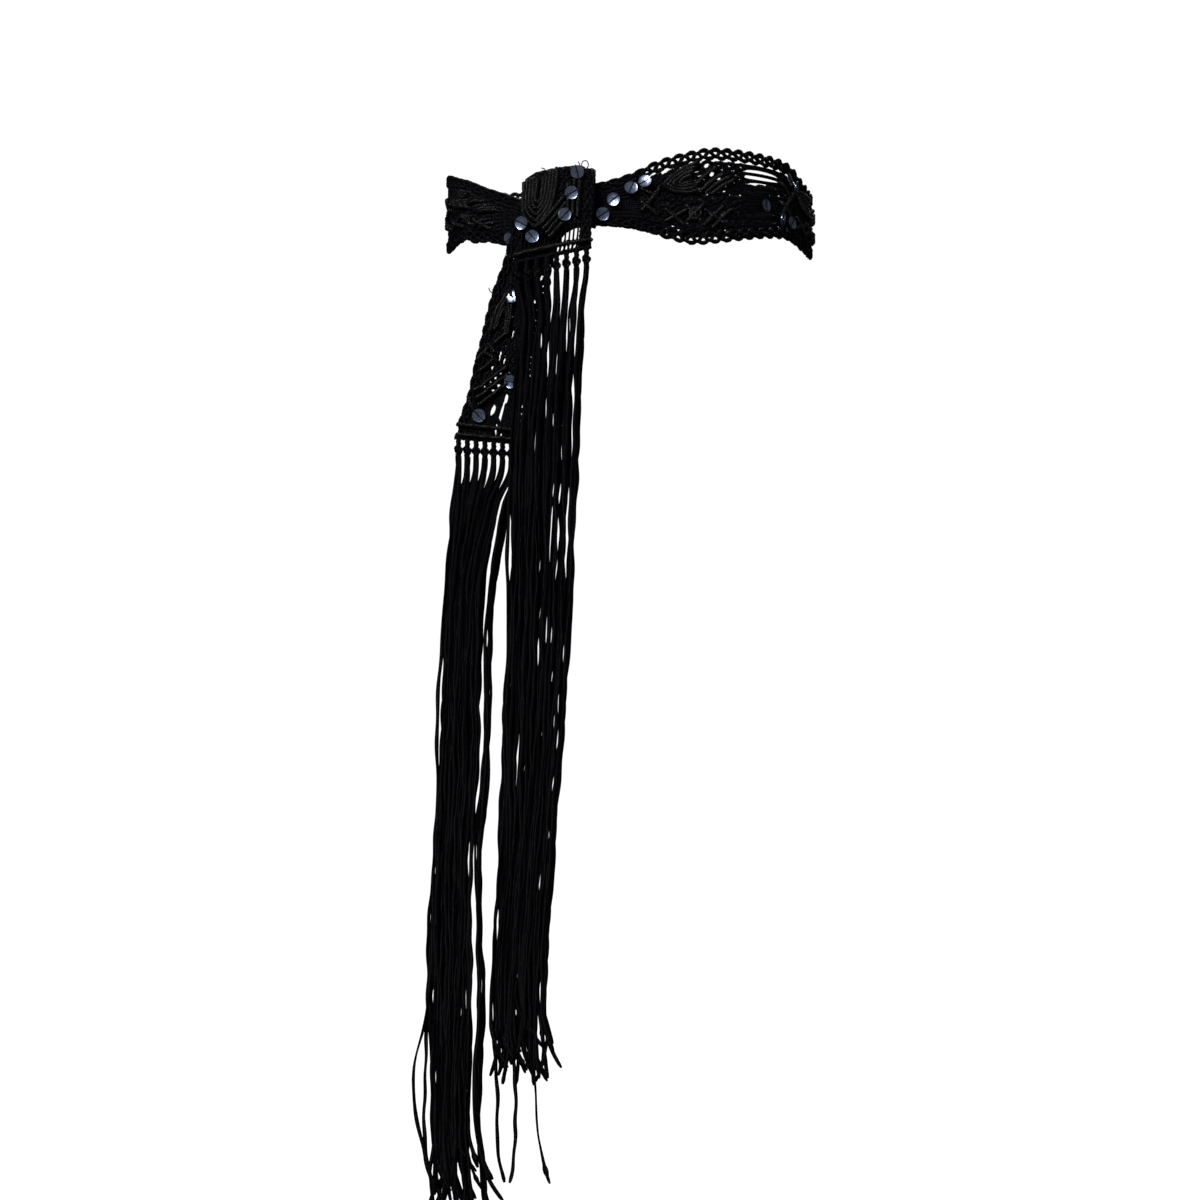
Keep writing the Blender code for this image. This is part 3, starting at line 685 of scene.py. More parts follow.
def hitch(skein, place, run, low, high, hand):
    """One half hitch: a short slanting loop over two neighbouring cords."""
    share = np.linspace(-HITCH_OVERLAP, 1.0 + HITCH_OVERLAP, 7)
    across = low + (high - low) * share
    depth = HITCH_OUT * np.sin(math.pi * (share + HITCH_OVERLAP) / (1.0 + 2.0 * HITCH_OVERLAP))
    path, outward = over_cloth(place, run + hand * HITCH_SLANT * (share - 0.5), across, GROUND_OUT + depth)
    skein.add(path, outward, HITCH_RADIUS, sides=5)


# The looped edges: two cords along each long side, worked into a chain of half hitches
# Each cord runs on in round loops that lock into the loops of the other, so light shows through the middle
# of every loop and the outline is scalloped.
LINK_STEPS = 22
LINK_RADIUS = 0.00118
LINK_REACH = 0.0052
LINK_ROW = 0.0005
LINK_SWING = 0.0029
LINK_DEPTH = 0.0010
LINK_PLY = 0.10
LINK_PLY_PITCH = 0.0026
EDGE_MIDDLE = GROUND_HALF + EDGE_WIDTH / 2
FILL_STEP = 0.0010
FILL_ROWS = (-0.0038, -0.0012, 0.0014)
LINK_TIGHTNESS = 0.35
FILL_RADIUS = 0.0016
Closed = namedtuple("Closed", "side start end")


def looped_edge(skein, place, start, end, side, closed=()):
    """The chain along one long side, +1 or -1. Where it is pulled tight, its loops close on filling cords."""
    zones = [(low, high) for closed_side, low, high in closed if closed_side == side]
    steps = math.ceil((end - start) / LINK_PITCH * LINK_STEPS)
    base = np.linspace(start, end, steps)
    for half in (0.0, math.pi):
        phase = math.tau * base / LINK_PITCH + half
        run = np.clip(base - LINK_REACH * np.sin(phase), start, end)
        row = LINK_ROW if half == 0.0 else -LINK_ROW
        slack = 1.0 - LINK_TIGHTNESS * in_zones(base, zones, LINK_PITCH)
        swing = LINK_SWING * slack * np.cos(phase) * (1.0 if half == 0.0 else -1.0)
        across = side * (EDGE_MIDDLE + row + swing)
        depth = GROUND_OUT + LINK_DEPTH * (np.sin(phase) + 0.5 * np.cos(phase))
        path, outward = over_cloth(place, run, across, depth)
        skein.add(path, outward, LINK_RADIUS, ply=LINK_PLY, ply_pitch=LINK_PLY_PITCH)
    for low, high in zones:
        low, high = max(low, start), min(high, end)
        if high - low > LINK_PITCH:
            run = np.arange(low, high, FILL_STEP)
            for row in FILL_ROWS:
                path, outward = over_cloth(place, run, side * (EDGE_MIDDLE + row), 0.0)
                skein.add(path, outward, FILL_RADIUS, ply=GROUND_PLY, ply_pitch=GROUND_PLY_PITCH)


# The ribs that draw the leaves and the crossings: a carrying cord laid over the ground and hitched on closely
# A leaf is a set of ribs inside each other, each a long U with its tip towards the strip's start.
# Below it the ribs cross in a small ring and a lattice.
RIB_RADIUS = 0.00130
RIB_OUT = 0.0035
RIB_PLY = 0.16
RIB_PLY_PITCH = 0.0021
RIB_STEP = 0.00055
RIB_END = 0.0020
RIB_MARGIN = 0.001

Leaf = namedtuple("Leaf", "tip middle half_height end ribs spacing lean")
BAND_LEAF = Leaf(0.5, 11.0, 9.6, 25.0, 4, 3.6, 3.0)
LEAF_NARROWING = 2.5
LEAF_SHORTENING = 1.5
LEAF_BLUNTNESS = 0.92

Rib = namedtuple("Rib", "run across run_end across_end sag")
BAND_RIBS = (
    Rib(25, 3, 43, 15, 1.2),
    Rib(29, 2, 47, 13, 1.0),
    Rib(33, 1, 50, 11, 0.8),
    Rib(22, 8, 38, 19, 1.2),
    Rib(16, -17, 28, -5, 0.8),
    Rib(16, -5, 28, -17, -0.8),
    Rib(28, -19, 42, -7, 0.6),
    Rib(34, -21, 48, -9, 0.6),
    Rib(28, -8, 44, -20, -0.6),
    Rib(2, -9, 16, -20, -0.8),
    Rib(2, -20, 17, -8, 0.8),
    Rib(88, -2, 100, -16, -0.8),
    Rib(88, 14, 99, 2, -0.8),
    Rib(88, -14, 101, 10, 0.8),
)
RING_RADIUS = 3.6
RING_AT = (22.0, -11.0)
RING_CORD = 0.85
RING_MARGIN = 0.005


def hitched_rib(skein, place, run, across, radius=RIB_RADIUS, out=RIB_OUT):
    """One rib over the cloth along a line of the strip; its ends dip into the ground."""
    length = cord_lengths(np.stack([run, across], axis=1))
    steps = max(6, round(length[-1] / RIB_STEP))
    even = np.linspace(0.0, length[-1], steps)
    run, across = np.interp(even, length, run), np.interp(even, length, across)
    ends = np.clip(np.minimum(even, length[-1] - even) / RIB_END, 0.0, 1.0)
    depth = GROUND_OUT + (out - GROUND_OUT) * np.sqrt(ends)
    path, outward = over_cloth(place, run, across, depth)
    skein.add(path, outward, radius, ply=RIB_PLY, ply_pitch=RIB_PLY_PITCH)


def leaf(skein, place, start, shape, limits=(-1.0, 1.0)):
    """The nested ribs of one leaf. start is where its repeat begins along the strip."""
    sweep = np.linspace(-1.0, 1.0, 81)
    for k in range(shape.ribs):
        half = max(shape.half_height - LEAF_NARROWING * k, 0.3)
        tip = shape.tip + shape.spacing * k
        away = (shape.end - LEAF_SHORTENING * k - tip) * np.abs(sweep)
        lift = half * np.tanh(away / (LEAF_BLUNTNESS * half)) * np.sign(sweep)
        across = shape.middle + lift + shape.lean * np.abs(sweep)
        run = start + (tip + away) * MM
        keep = (run > limits[0]) & (run < limits[1])
        if keep.sum() > 4:
            hitched_rib(skein, place, run[keep], across[keep] * MM)


def ring(skein, place, run, across):
    """A small round of hitched cord."""
    turns = np.linspace(0.0, math.tau, 30)
    spot_run = run + RING_RADIUS * MM * np.cos(turns)
    spot_across = across + RING_RADIUS * MM * np.sin(turns)
    path, outward = over_cloth(place, spot_run, spot_across, RIB_OUT)
    skein.add(path, outward, RIB_RADIUS * RING_CORD, ply=RIB_PLY, ply_pitch=RIB_PLY_PITCH)


def rib_lines(skein, place, rows, start, end):
    """The straight ribs of a table between start and end of a stretch."""
    for run, across, run_end, across_end, sag in rows:
        share = np.linspace(0.0, 1.0, 25)
        line = run + (run_end - run) * share
        height = across + (across_end - across) * share + sag * np.sin(math.pi * share)
        keep = (line > start + RIB_MARGIN) & (line < end - RIB_MARGIN)
        if keep.sum() > 5:
            hitched_rib(skein, place, line[keep], height[keep])


# The strip round the waist, in three stretches with 0.3 mm between them
# The maker ties one long strip; it is cut here only where nobody sees it, at the back. Its right end starts
# under the knot.
SEAM = 0.0003
Stretch = namedtuple("Stretch", "node start end")
STRETCHES = (
    Stretch("band_right", 0.0, 0.290),
    Stretch("band_back", 0.290, 0.494),
    Stretch("band_left", 0.494, BAND_LENGTH),
)
REPEATS = range(-1, math.ceil(BAND_LENGTH / REPEAT) + 1)
LEFT_FRONT = 0.560
LEFT_OPENINGS = (
    Opening(567, 12, 2.6, 1.5),
    Opening(575, 17, 2.6, 1.9),
    Opening(572, -4, 2.4, 1.7),
    Opening(575, -10, 2.2, 1.4),
    Opening(578, -17, 2.4, 1.7),
    Opening(581, -21, 2.0, 1.3),
    Opening(603, 20, 1.8, 2.0),
    Opening(606, 12, 1.2, 0.9),
    Opening(611, 19, 3.0, 1.3),
    Opening(620, 20, 2.4, 1.1),
)
EDGES_CLOSED = (
    Closed(1.0, 0.0, 0.036),
    Closed(-1.0, 0.0, 0.047),
    Closed(1.0, LEFT_FRONT, BAND_LENGTH),
    Closed(-1.0, LEFT_FRONT, 0.582),
    Closed(-1.0, 0.601, BAND_LENGTH),
)
ALL_OPENINGS = [row for row in repeated(BAND_OPENINGS, REPEATS, FIRST_REPEAT, REPEAT) if row[0] < LEFT_FRONT]
ALL_OPENINGS += repeated(LEFT_OPENINGS, (0,), 0.0, 0.0)
ALL_RIBS = repeated(BAND_RIBS, REPEATS, FIRST_REPEAT, REPEAT)
ALL_FLOATS = [
    (FIRST_REPEAT + REPEAT * k + low * MM, FIRST_REPEAT + REPEAT * k + high * MM)
    for k in REPEATS
    for low, high in BAND_FLOATS
    if FIRST_REPEAT + REPEAT * k + high * MM < LEFT_FRONT
]

for stretch in STRETCHES:
    start, end = stretch.start + SEAM / 2, stretch.end - SEAM / 2
    ground = Skein()
    hitches = knotted_ground(ground, waist_place, start, end, ALL_OPENINGS, ALL_FLOATS)
    cloth = ground.finish(stretch.node + "_ground", KNOTTED_RAYON, stretch.node)
    bound = hitches.finish(stretch.node + "_hitches", KNOTTED_RAYON, stretch.node)
    edges = Skein()
    for side in (-1.0, 1.0):
        looped_edge(edges, waist_place, start, end, side, EDGES_CLOSED)
    chain = edges.finish(stretch.node + "_edges", KNOTTED_RAYON, stretch.node)
    ribs = Skein()
    limits = (start + RIB_MARGIN, end - RIB_MARGIN)
    for k in REPEATS:
        leaf(ribs, waist_place, FIRST_REPEAT + REPEAT * k, BAND_LEAF, limits)
        middle = FIRST_REPEAT + REPEAT * k + RING_AT[0] * MM
        if start + RING_MARGIN < middle < end - RING_MARGIN:
            ring(ribs, waist_place, middle, RING_AT[1] * MM)
    rib_lines(ribs, waist_place, ALL_RIBS, start, end)
    motifs = ribs.finish(stretch.node + "_ribs", RIB_RAYON, stretch.node)

# The tail: the strip's right end, drawn narrow under the knot and opening out as it hangs
# It shows its leaf on the outer side and its openings towards the fringe of the flap.
TAIL_LEAF = Leaf(82.0, 15.0, 11.0, 112.0, 3, 6.0, 0.0)
TAIL_KNOT_RUN = 0.064
TAIL_OPENINGS_MM = (
    Opening(98, 14, 1.1, 1.2),
    Opening(99, 2, 2.1, 1.5),
    Opening(102, 8, 1.1, 1.2),
    Opening(109, 3, 1.4, 0.9),
    Opening(110, -3, 4.6, 1.7),
    Opening(110, 23, 4.6, 1.7),
    Opening(115, -6, 1.1, 1.0),
    Opening(118, 4, 0.9, 2.5),
    Opening(127, 8, 4.8, 1.9),
    Opening(128, 2, 3.5, 1.7),
    Opening(134, 15, 1.3, 1.5),
    Opening(136, -7, 1.1, 1.3),
    Opening(137, 4, 0.8, 1.9),
    Opening(140, 8, 1.6, 1.6),
    Opening(141, -3, 0.8, 1.7),
    Opening(144, 13, 1.2, 1.3),
    Opening(145, 3, 1.0, 2.3),
    Opening(147, 19, 0.8, 1.0),
    Opening(148, 8, 0.9, 2.2),
    Opening(153, -10, 2.9, 1.9),
    Opening(161, 2, 2.8, 2.5),
    Opening(162, -23, 2.1, 0.9),
    Opening(163, -8, 7.2, 1.5),
    Opening(172, -7, 5.3, 1.3),
    Opening(175, -12, 3.4, 1.2),
    Opening(177, -19, 1.1, 1.5),
)
TAIL_RIBS_MM = (
    Rib(110, 6, 119, 20, 0.5),
    Rib(121, 24, 132, 30, 0.5),
    Rib(119, 26, 125, 14, 0.5),
    Rib(128, 15, 138, 27, 0.5),
    Rib(132, -3, 150, 28, 0.5),
    Rib(137, -7, 155, 26, 0.5),
    Rib(143, -8, 159, 21, 0.5),
    Rib(125, 27, 130, 9, 0.5),
    Rib(154, 30, 163, 23, 0.5),
)
TAIL_FLOATS = ((0.150, 0.167),)
TAIL_CORDING = (0.0062, 0.0008)
TAIL_CORDING_RADIUS = 0.0015
CORDING_INSET = 0.0014
TAIL_CLOSED = (Closed(1.0, 0.0, TAIL_LENGTH), Closed(-1.0, 0.0, TAIL_KNOT_RUN))

for node, start, end in (
    ("knot_pass", SEAM, TAIL_KNOT_RUN - SEAM / 2),
    ("tail", TAIL_KNOT_RUN + SEAM / 2, TAIL_LENGTH),
):
    openings = repeated(TAIL_OPENINGS_MM, (0,), 0.0, 0.0)
    ground = Skein()
    hitches = knotted_ground(ground, tail_place, start, end, openings, TAIL_FLOATS)
    cloth = ground.finish(node + "_ground", KNOTTED_RAYON, node)
    edges = Skein()
    for side in (-1.0, 1.0):
        looped_edge(edges, tail_place, start, end, side, TAIL_CLOSED)
    with_it = [
        hitches.finish(node + "_hitches", KNOTTED_RAYON, node),
        edges.finish(node + "_edges", KNOTTED_RAYON, node),
    ]
    if node == "tail":
        ribs = Skein()
        leaf(ribs, tail_place, 0.0, TAIL_LEAF)
        rib_lines(ribs, tail_place, repeated(TAIL_RIBS_MM, (0,), 0.0, 0.0), start, end)
        for down in TAIL_CORDING:
            line = np.linspace(-STRIP_HALF, STRIP_HALF - CORDING_INSET, 40)
            run = np.full_like(line, end - down)
            hitched_rib(ribs, tail_place, run, line, radius=TAIL_CORDING_RADIUS)
        with_it.append(ribs.finish("tail_ribs", RIB_RAYON, node))

# The flap: the strip's left end, brought up behind the knot, over it and down in front
# It shows one large leaf to the left, slanting ribs beside it, open slits below, and a row of cording.
FLAP_LEAF = Leaf(-31.5, 9.9, 12.2, 8.0, 5, 4.1, 0.0)
FLAP_SLITS = ((0.0345, 0.0455), (0.0486, 0.0512))
SLIT_CORD_RADIUS = 0.00072
FLAP_RIBS_MM = (
    Rib(34.5, 4.0, 17.0, -12.0, 0),
    Rib(38.0, 1.5, 24.0, -10.5, 0),
    Rib(31.0, 6.5, 12.0, -10.5, 0),
    Rib(41.0, -1.0, 31.0, -10.0, 0),
    Rib(4.0, -11.0, 26.0, -13.0, 0),
    Rib(2.0, -15.5, 28.0, -16.5, 0),
    Rib(2.0, -19.5, 30.0, -20.0, 0),
)
FLAP_CORDING = (0.0472,)
FLAP_CORDING_RADIUS = 0.0016


def flap_down(run, across, out):
    """A place of the flap for a leaf that points down: its run counts up from the end."""
    return flap_place(-run, across, out)


start, end = -FLAP_TURN_LENGTH - FLAP_REAR_LENGTH, FLAP_FRONT_LENGTH
ground = Skein()
hitches = knotted_ground(ground, flap_place, start, end, [], FLAP_SLITS, thin=SLIT_CORD_RADIUS)
flap_cloth = ground.finish("flap_ground", KNOTTED_RAYON, "flap")
flap_hitches = hitches.finish("flap_hitches", KNOTTED_RAYON, "flap")
edges = Skein()
looped_edge(edges, flap_place, start, end, -1.0, (Closed(-1.0, start, end),))
flap_edge = edges.finish("flap_edge", KNOTTED_RAYON, "flap")
ribs = Skein()
leaf(ribs, flap_down, 0.0, FLAP_LEAF)
rib_lines(ribs, flap_place, repeated(FLAP_RIBS_MM, (0,), 0.0, 0.0), start, end)
for down in FLAP_CORDING:
    line = np.linspace(CORDING_INSET - STRIP_HALF, FLAP_LEFT_FOLD, 40)
    hitched_rib(ribs, flap_place, np.full_like(line, down), line, radius=FLAP_CORDING_RADIUS)
flap_ribs = ribs.finish("flap_ribs", RIB_RAYON, "flap")

# The fringes: a last bar of cording, an overhand knot for every four strands, and long flat braided strands
# The strands are soft rayon tape about 3 mm wide. They hang almost straight, each with its own slow waves,
# and turn a little as they go. Two more hang inside the four that show at every knot, so the fringe is dense.
STRIP_HEIGHT = 0.0034
FLAP_FRINGE_Y = -0.1020
TAIL_FRINGE_Y = -0.1030
BAR_RADIUS = 0.0016
BAR_LIFT = 0.0027
KNOTS = 8
STRANDS_PER_KNOT = 4
STRAND_ROWS = (0, 0.5, 1, 2, 2.5, 3)
STRAND_HALF_WIDTH = 0.00155
STRAND_FLATNESS = 0.46
STRAND_SWELLS_EVERY = 0.031
STRAND_WIDTH = 0.0024
STRAND_ROW_GAP = 0.0016
STRAND_STEP = 0.0024
NECK_DROP = 0.0035
NECK_RADIUS = 0.0018
KNOT_DROP = 0.0095
KNOT_HALF_WIDTH = 0.0028
KNOT_HALF_HEIGHT = 0.0046
KNOT_HALF_DEPTH = 0.0034
KNOT_CORD_RADIUS = 0.00125
KNOT_INSET = 0.0008
KNOT_CROSSING = 1.5
KNOT_FLATNESS = 0.55
KNOT_PLY = 0.12
KNOT_PLY_PITCH = 0.0024
NECK_PLY = 0.14
NECK_PLY_PITCH = 0.0028
SWAY_WAVES = 1.6
SWAY_TURN_PER_ROW = 0.25
SWAY_TURN_PER_KNOT = 0.06
GOLDEN = 0.618034
WAVE_LENGTH = 0.085
WAVE_REACH = 0.00055
KICK_FROM = 0.945
KICK_REACH = 0.022
END_KNOT_AT = 0.986
END_KNOT_LENGTH = 0.004
END_KNOT_RISE = 0.9
BOWED_FROM = 0.72
BOWED_SPAN = 0.26
FREE_BY = 0.06
GATHERED_BY = 0.16
FANNED_BY = 0.0007
TAPE_RAYON = braided_material("tape_rayon", Braid(0.0011, 1.5, 0.00016, 0.05, 0.20, 0.0))

Hang = namedtuple("Hang", "below middle width y")
FLAP_HANG = (
    Hang(0.060, -0.0512, 0.0446, -0.1045),
    Hang(0.085, -0.0518, 0.0440, -0.1080),
    Hang(0.110, -0.0538, 0.0446, -0.1110),
    Hang(0.170, -0.0570, 0.0460, -0.1165),
    Hang(0.276, -0.0605, 0.0425, -0.1170),
    Hang(0.342, -0.0637, 0.0420, -0.1170),
    Hang(0.446, -0.0690, 0.0365, -0.1170),
    Hang(0.530, -0.0735, 0.0365, -0.1170),
    Hang(0.660, -0.0720, 0.0360, -0.1170),
)
TAIL_HANG = (
    Hang(0.175, -0.0935, 0.0430, -0.1055),
    Hang(0.230, -0.1010, 0.0380, -0.1080),
    Hang(0.276, -0.1060, 0.0345, -0.1085),
    Hang(0.394, -0.1105, 0.0345, -0.1085),
    Hang(0.446, -0.1140, 0.0330, -0.1085),
    Hang(0.538, -0.1150, 0.0390, -0.1085),
    Hang(0.616, -0.1155, 0.0360, -0.1085),
    Hang(0.690, -0.1120, 0.0440, -0.1085),
)
# Where each knot's strands hang, as a share of the fringe's width, and how far they spread beside each other
Place = namedtuple("Place", "share spread")
FLAP_PLACES = (
    Place(0.06, 1.3),
    Place(0.18, 1.3),
    Place(0.31, 1.3),
    Place(0.43, 1.2),
    Place(0.57, 1.2),
    Place(0.70, 1.1),
    Place(0.84, 0.8),
    Place(0.98, 0.55),
)
TAIL_PLACES = (
    Place(0.05, 1.3),
    Place(0.16, 1.3),
    Place(0.27, 1.2),
    Place(0.38, 1.2),
    Place(0.49, 1.2),
    Place(0.60, 1.2),
    Place(0.72, 1.0),
    Place(0.95, 0.5),
)
FringeSize = namedtuple("FringeSize", "shortest spread long_end long_first long_every sway places")
FLAP_FRINGE = FringeSize(-0.560, 0.032, -0.655, 3, 11, 0.0012, FLAP_PLACES)
TAIL_FRINGE = FringeSize(-0.640, 0.046, -0.689, 3, 7, 0.0014, TAIL_PLACES)
# How far a strand bows sideways above its end, for the knot and row of each that does
FLAP_BOWED = {}
TAIL_BOWED = {(0, 1): -0.009, (0, 3): -0.005}


def chance(number, turn=1.0):
    """A fixed value between 0 and 1 for each number, spread evenly."""
    return (number * GOLDEN * turn + 0.37 * turn) % 1.0


def soft_step(values, low, high):
    """0 below low, 1 above high, and a smooth change between."""
    share = np.clip((values - low) / (high - low), 0.0, 1.0)
    return share * share * (3.0 - 2.0 * share)


def strand(skein, under, knot, row, hang, size, bow=0.0):
    """One flat strand, from the underside of its knot to its cut end."""
    number = knot * STRANDS_PER_KNOT + row
    end_z = size.shortest - size.spread * ((number * GOLDEN) % 1.0)
    if number % size.long_every == size.long_first:
        end_z = size.long_end
    row_offset = (row - (STRANDS_PER_KNOT - 1) / 2) * STRAND_ROW_GAP
    place, spread = size.places[knot]
    turn = SWAY_TURN_PER_ROW * row + SWAY_TURN_PER_KNOT * knot
    share = np.linspace(0.0, 1.0, round((under[2] - end_z) / STRAND_STEP))
    z = under[2] + (end_z - under[2]) * share
    middle, width, depth = smooth(hang, -z)
    sway = size.sway * np.sin(math.tau * (SWAY_WAVES * share + turn))
    side = 1.0 if round(row + knot) % 2 == 0 else -1.0
    beside = side * (0.6 + 0.8 * chance(number, 23.0)) * spread * MM
    beside = beside * (0.55 + 0.45 * soft_step(share, 0.05, 0.35))
    length = WAVE_LENGTH * (0.7 + 0.6 * chance(number))
    wave = WAVE_REACH * np.sin(math.tau * (z / length + chance(number, 3.0)))
    wave += 0.5 * WAVE_REACH * np.sin(math.tau * (z / (0.37 * length) + chance(number, 5.0)))
    tip = np.clip((share - KICK_FROM) / (1.0 - KICK_FROM), 0.0, 1.0)
    kick = (chance(number, 7.0) - 0.4) * KICK_REACH * tip**1.6
    belly = bow * np.sin(math.pi * np.clip((share - BOWED_FROM) / BOWED_SPAN, 0.0, 1.0)) ** 2
    free = soft_step(share, 0.0, FREE_BY)
    own = (knot + 0.5) / KNOTS
    place = own + (place - own) * soft_step(share, 0.0, GATHERED_BY)
    hung_x = middle + (place - 0.5) * (width - STRAND_WIDTH) + sway + beside + wave + kick + belly
    fanned_x = under[0] + side * FANNED_BY
    x = fanned_x + (hung_x - fanned_x) * free
    y = under[1] + (depth + 0.5 * wave - under[1]) * free + row_offset
    path = np.stack([x, y, z], axis=1)
    outward = np.broadcast_to((0.0, -1.0, 0.0), path.shape)
    winding = math.tau * (share * (1.5 + 2.0 * chance(number, 17.0)) + chance(number, 19.0))
    twist = (chance(number, 11.0) - 0.5) * 1.2 + (0.3 + 0.5 * chance(number, 13.0)) * np.sin(winding)
    radius = STRAND_HALF_WIDTH * (0.92 + 0.10 * np.sin(math.tau * z / STRAND_SWELLS_EVERY + number))
    radius = radius * np.clip((1.0 - share) / 0.004 + 0.6, 0.0, 1.0)
    away = (share - END_KNOT_AT) / END_KNOT_LENGTH
    knotted = END_KNOT_RISE * (chance(number, 29.0) > 0.7) * np.exp(-(away**2))
    flatness = STRAND_FLATNESS + 0.55 * knotted
    skein.add(path, outward, radius * (1.0 + 0.5 * knotted), flatness=flatness, turn=twist)


def overhand_knot(skein, top, number):
    """A tight overhand knot: one thick cord crossing itself three times, with a neck above it."""
    turns = np.linspace(0.0, math.tau, 64)
    tilt = 0.5 * chance(number, 5.0)
    wide = (np.sin(turns + tilt) + KNOT_CROSSING * np.sin(2.0 * turns + tilt)) / (1.0 + KNOT_CROSSING)
    high = (np.cos(turns + tilt) - KNOT_CROSSING * np.cos(2.0 * turns + tilt)) / (1.0 + KNOT_CROSSING)
    deep = -np.sin(3.0 * turns)
    middle = top - np.array([0.0, 0.0, (NECK_DROP + KNOT_DROP) / 2])
    path = middle + np.stack(
        [
            wide * (KNOT_HALF_WIDTH - KNOT_INSET),
            deep * (KNOT_HALF_DEPTH - KNOT_CORD_RADIUS) * KNOT_FLATNESS,
            high * (KNOT_HALF_HEIGHT - KNOT_INSET),
        ],
        axis=1,
    )
    outward = unit(path - middle)
    skein.add(path, outward, KNOT_CORD_RADIUS, sides=7, ply=KNOT_PLY, ply_pitch=KNOT_PLY_PITCH)
    neck = np.linspace(0.0, 1.0, 8)[:, None]
    down = top + np.array([0.0, 0.0, BAR_LIFT]) * (1.0 - neck) + neck * (middle - top)
    outward = np.broadcast_to((0.0, -1.0, 0.0), down.shape)
    skein.add(down, outward, NECK_RADIUS, sides=7, ply=NECK_PLY, ply_pitch=NECK_PLY_PITCH)


def fringe(node, left, right, hang, size, bowed):
    """The whole fringe of one end, from its cording bar down."""
    left, right = np.array(left), np.array(right)
    tops = Skein()
    share = np.linspace(0.0, 1.0, 90)[:, None]
    line = left + (right - left) * share + np.array([0.0, 0.0, BAR_LIFT])
    outward = np.broadcast_to((0.0, -1.0, 0.0), line.shape)
    tops.add(line, outward, BAR_RADIUS, ply=RIB_PLY, ply_pitch=RIB_PLY_PITCH)
    strands = Skein()
    for knot in range(KNOTS):
        root = left + (right - left) * (knot + 0.5) / KNOTS
        root[1] = smooth(hang, [-root[2]])[2][0]
        overhand_knot(tops, root, knot)
        under = root - np.array([0.0, 0.0, KNOT_DROP])
        for row in STRAND_ROWS:
            bow = bowed.get((knot, row), 0.0)
            strand(strands, under, knot, row, hang, size, bow)
    return [
        tops.finish(node + "_knots", KNOTTED_RAYON, node),
        strands.finish(node + "_strands", TAPE_RAYON, node, "fringe_tape"),
    ]


DROP = STRIP_HEIGHT + SEAM
fringe(
    "fringe_flap",
    (FLAP_END_LEFT, FLAP_FRINGE_Y, FLAP_END_LEFT_Z - DROP),
    (FLAP_END_RIGHT, FLAP_FRINGE_Y, FLAP_END_RIGHT_Z - DROP),
    FLAP_HANG,
    FLAP_FRINGE,
    FLAP_BOWED,
)
tail_end = TAIL_ROWS[-1]
fringe(
    "fringe_tail",
    (tail_end.outer_x, TAIL_FRINGE_Y, tail_end.outer_z - DROP),
    (tail_end.inner_x, TAIL_FRINGE_Y, tail_end.inner_z - DROP),
    TAIL_HANG,
    TAIL_FRINGE,
    TAIL_BOWED,
)

# The paillettes: flat cupped discs of silvered plastic, each sewn on through its middle
# They sit in slanting lines across the strip. A black thread goes right across each disc through its hole.
DiscRing = namedtuple("DiscRing", "radius height")
DISC_RINGS = (
    DiscRing(0.0005, 0.0),
    DiscRing(0.0009, 0.00004),
    DiscRing(0.0026, 0.00014),
    DiscRing(0.0039, 0.00032),
    DiscRing(0.0043, 0.00044),
)
DISC_THICKNESS = 0.00030
DISC_SIDES = 28
DISC_SHARP_ANGLE = 50.0
DISC_OUT = 0.0046
THREAD_RADIUS = 0.00030
THREAD_LIFT = 0.00045
THREAD_DIP = 0.0025
THREAD_REACH = 1.1
DISC_DARK = (0.05, 0.07, 0.14, 1.0)
DISC_BRIGHT = (0.34, 0.41, 0.58, 1.0)
DISC_METAL = 0.85
DISC_SKIN = 0.6
DISC_SKIN_ROUGHNESS = 0.05
DISC_SMOOTHEST = 0.12
DISC_ROUGHEST = 0.42
DISC_CLOUD_SCALE = 420.0
SCRATCH_SCALE = 900.0
SCRATCH_DEPTH = 0.00005

Disc = namedtuple("Disc", "run across lean_along lean_across thread")
BAND_DISCS = (
    Disc(10.5, -20.0, 0.10, -0.10, 0.6),
    Disc(17.1, 4.5, -0.10, 0.06, 0.5),
    Disc(28.1, 18.0, 0.15, 0.25, 0.9),
    Disc(36.9, 20.0, -0.10, 0.40, 0.1),
    Disc(120.8, -7.5, 0.15, 0.10, 1.6),
    Disc(135.6, -18.0, 0.25, -0.20, 1.7),
    Disc(142.3, 19.0, 0.10, 0.20, 2.6),
    Disc(145.0, -19.0, -0.10, 0.15, 0.9),
    Disc(149.4, 15.5, 0.30, -0.10, 1.6),
    Disc(214.0, -19.0, 0.10, -0.10, 0.6),
    Disc(231.0, 18.0, 0.15, 0.25, 0.9),
    Disc(318.0, -19.0, 0.10, -0.10, 0.6),
    Disc(335.0, 18.0, 0.15, 0.25, 0.9),
    Disc(422.0, -19.0, 0.10, -0.10, 0.6),
    Disc(439.0, 18.0, 0.15, 0.25, 0.9),
    Disc(619.6, -25.5, 0.05, -0.45, 0.7),
)
FLAP_DISCS = (
    Disc(-2.0, -17.5, 0.55, 0.10, 0.3),
    Disc(11.9, -14.5, 0.05, -0.05, 2.2),
    Disc(26.6, -11.0, -0.05, 0.10, 2.5),
    Disc(37.7, 11.0, -0.10, 0.05, 0.8),
    Disc(24.7, 20.5, 0.10, -0.35, 1.2),
)
TAIL_DISCS = (
    Disc(86.0, 8.5, -0.20, -0.31, 0.5),
    Disc(142.0, -11.0, 0.10, -0.35, 1.5),
    Disc(165.5, 16.0, 0.05, 0.05, 1.1),
)


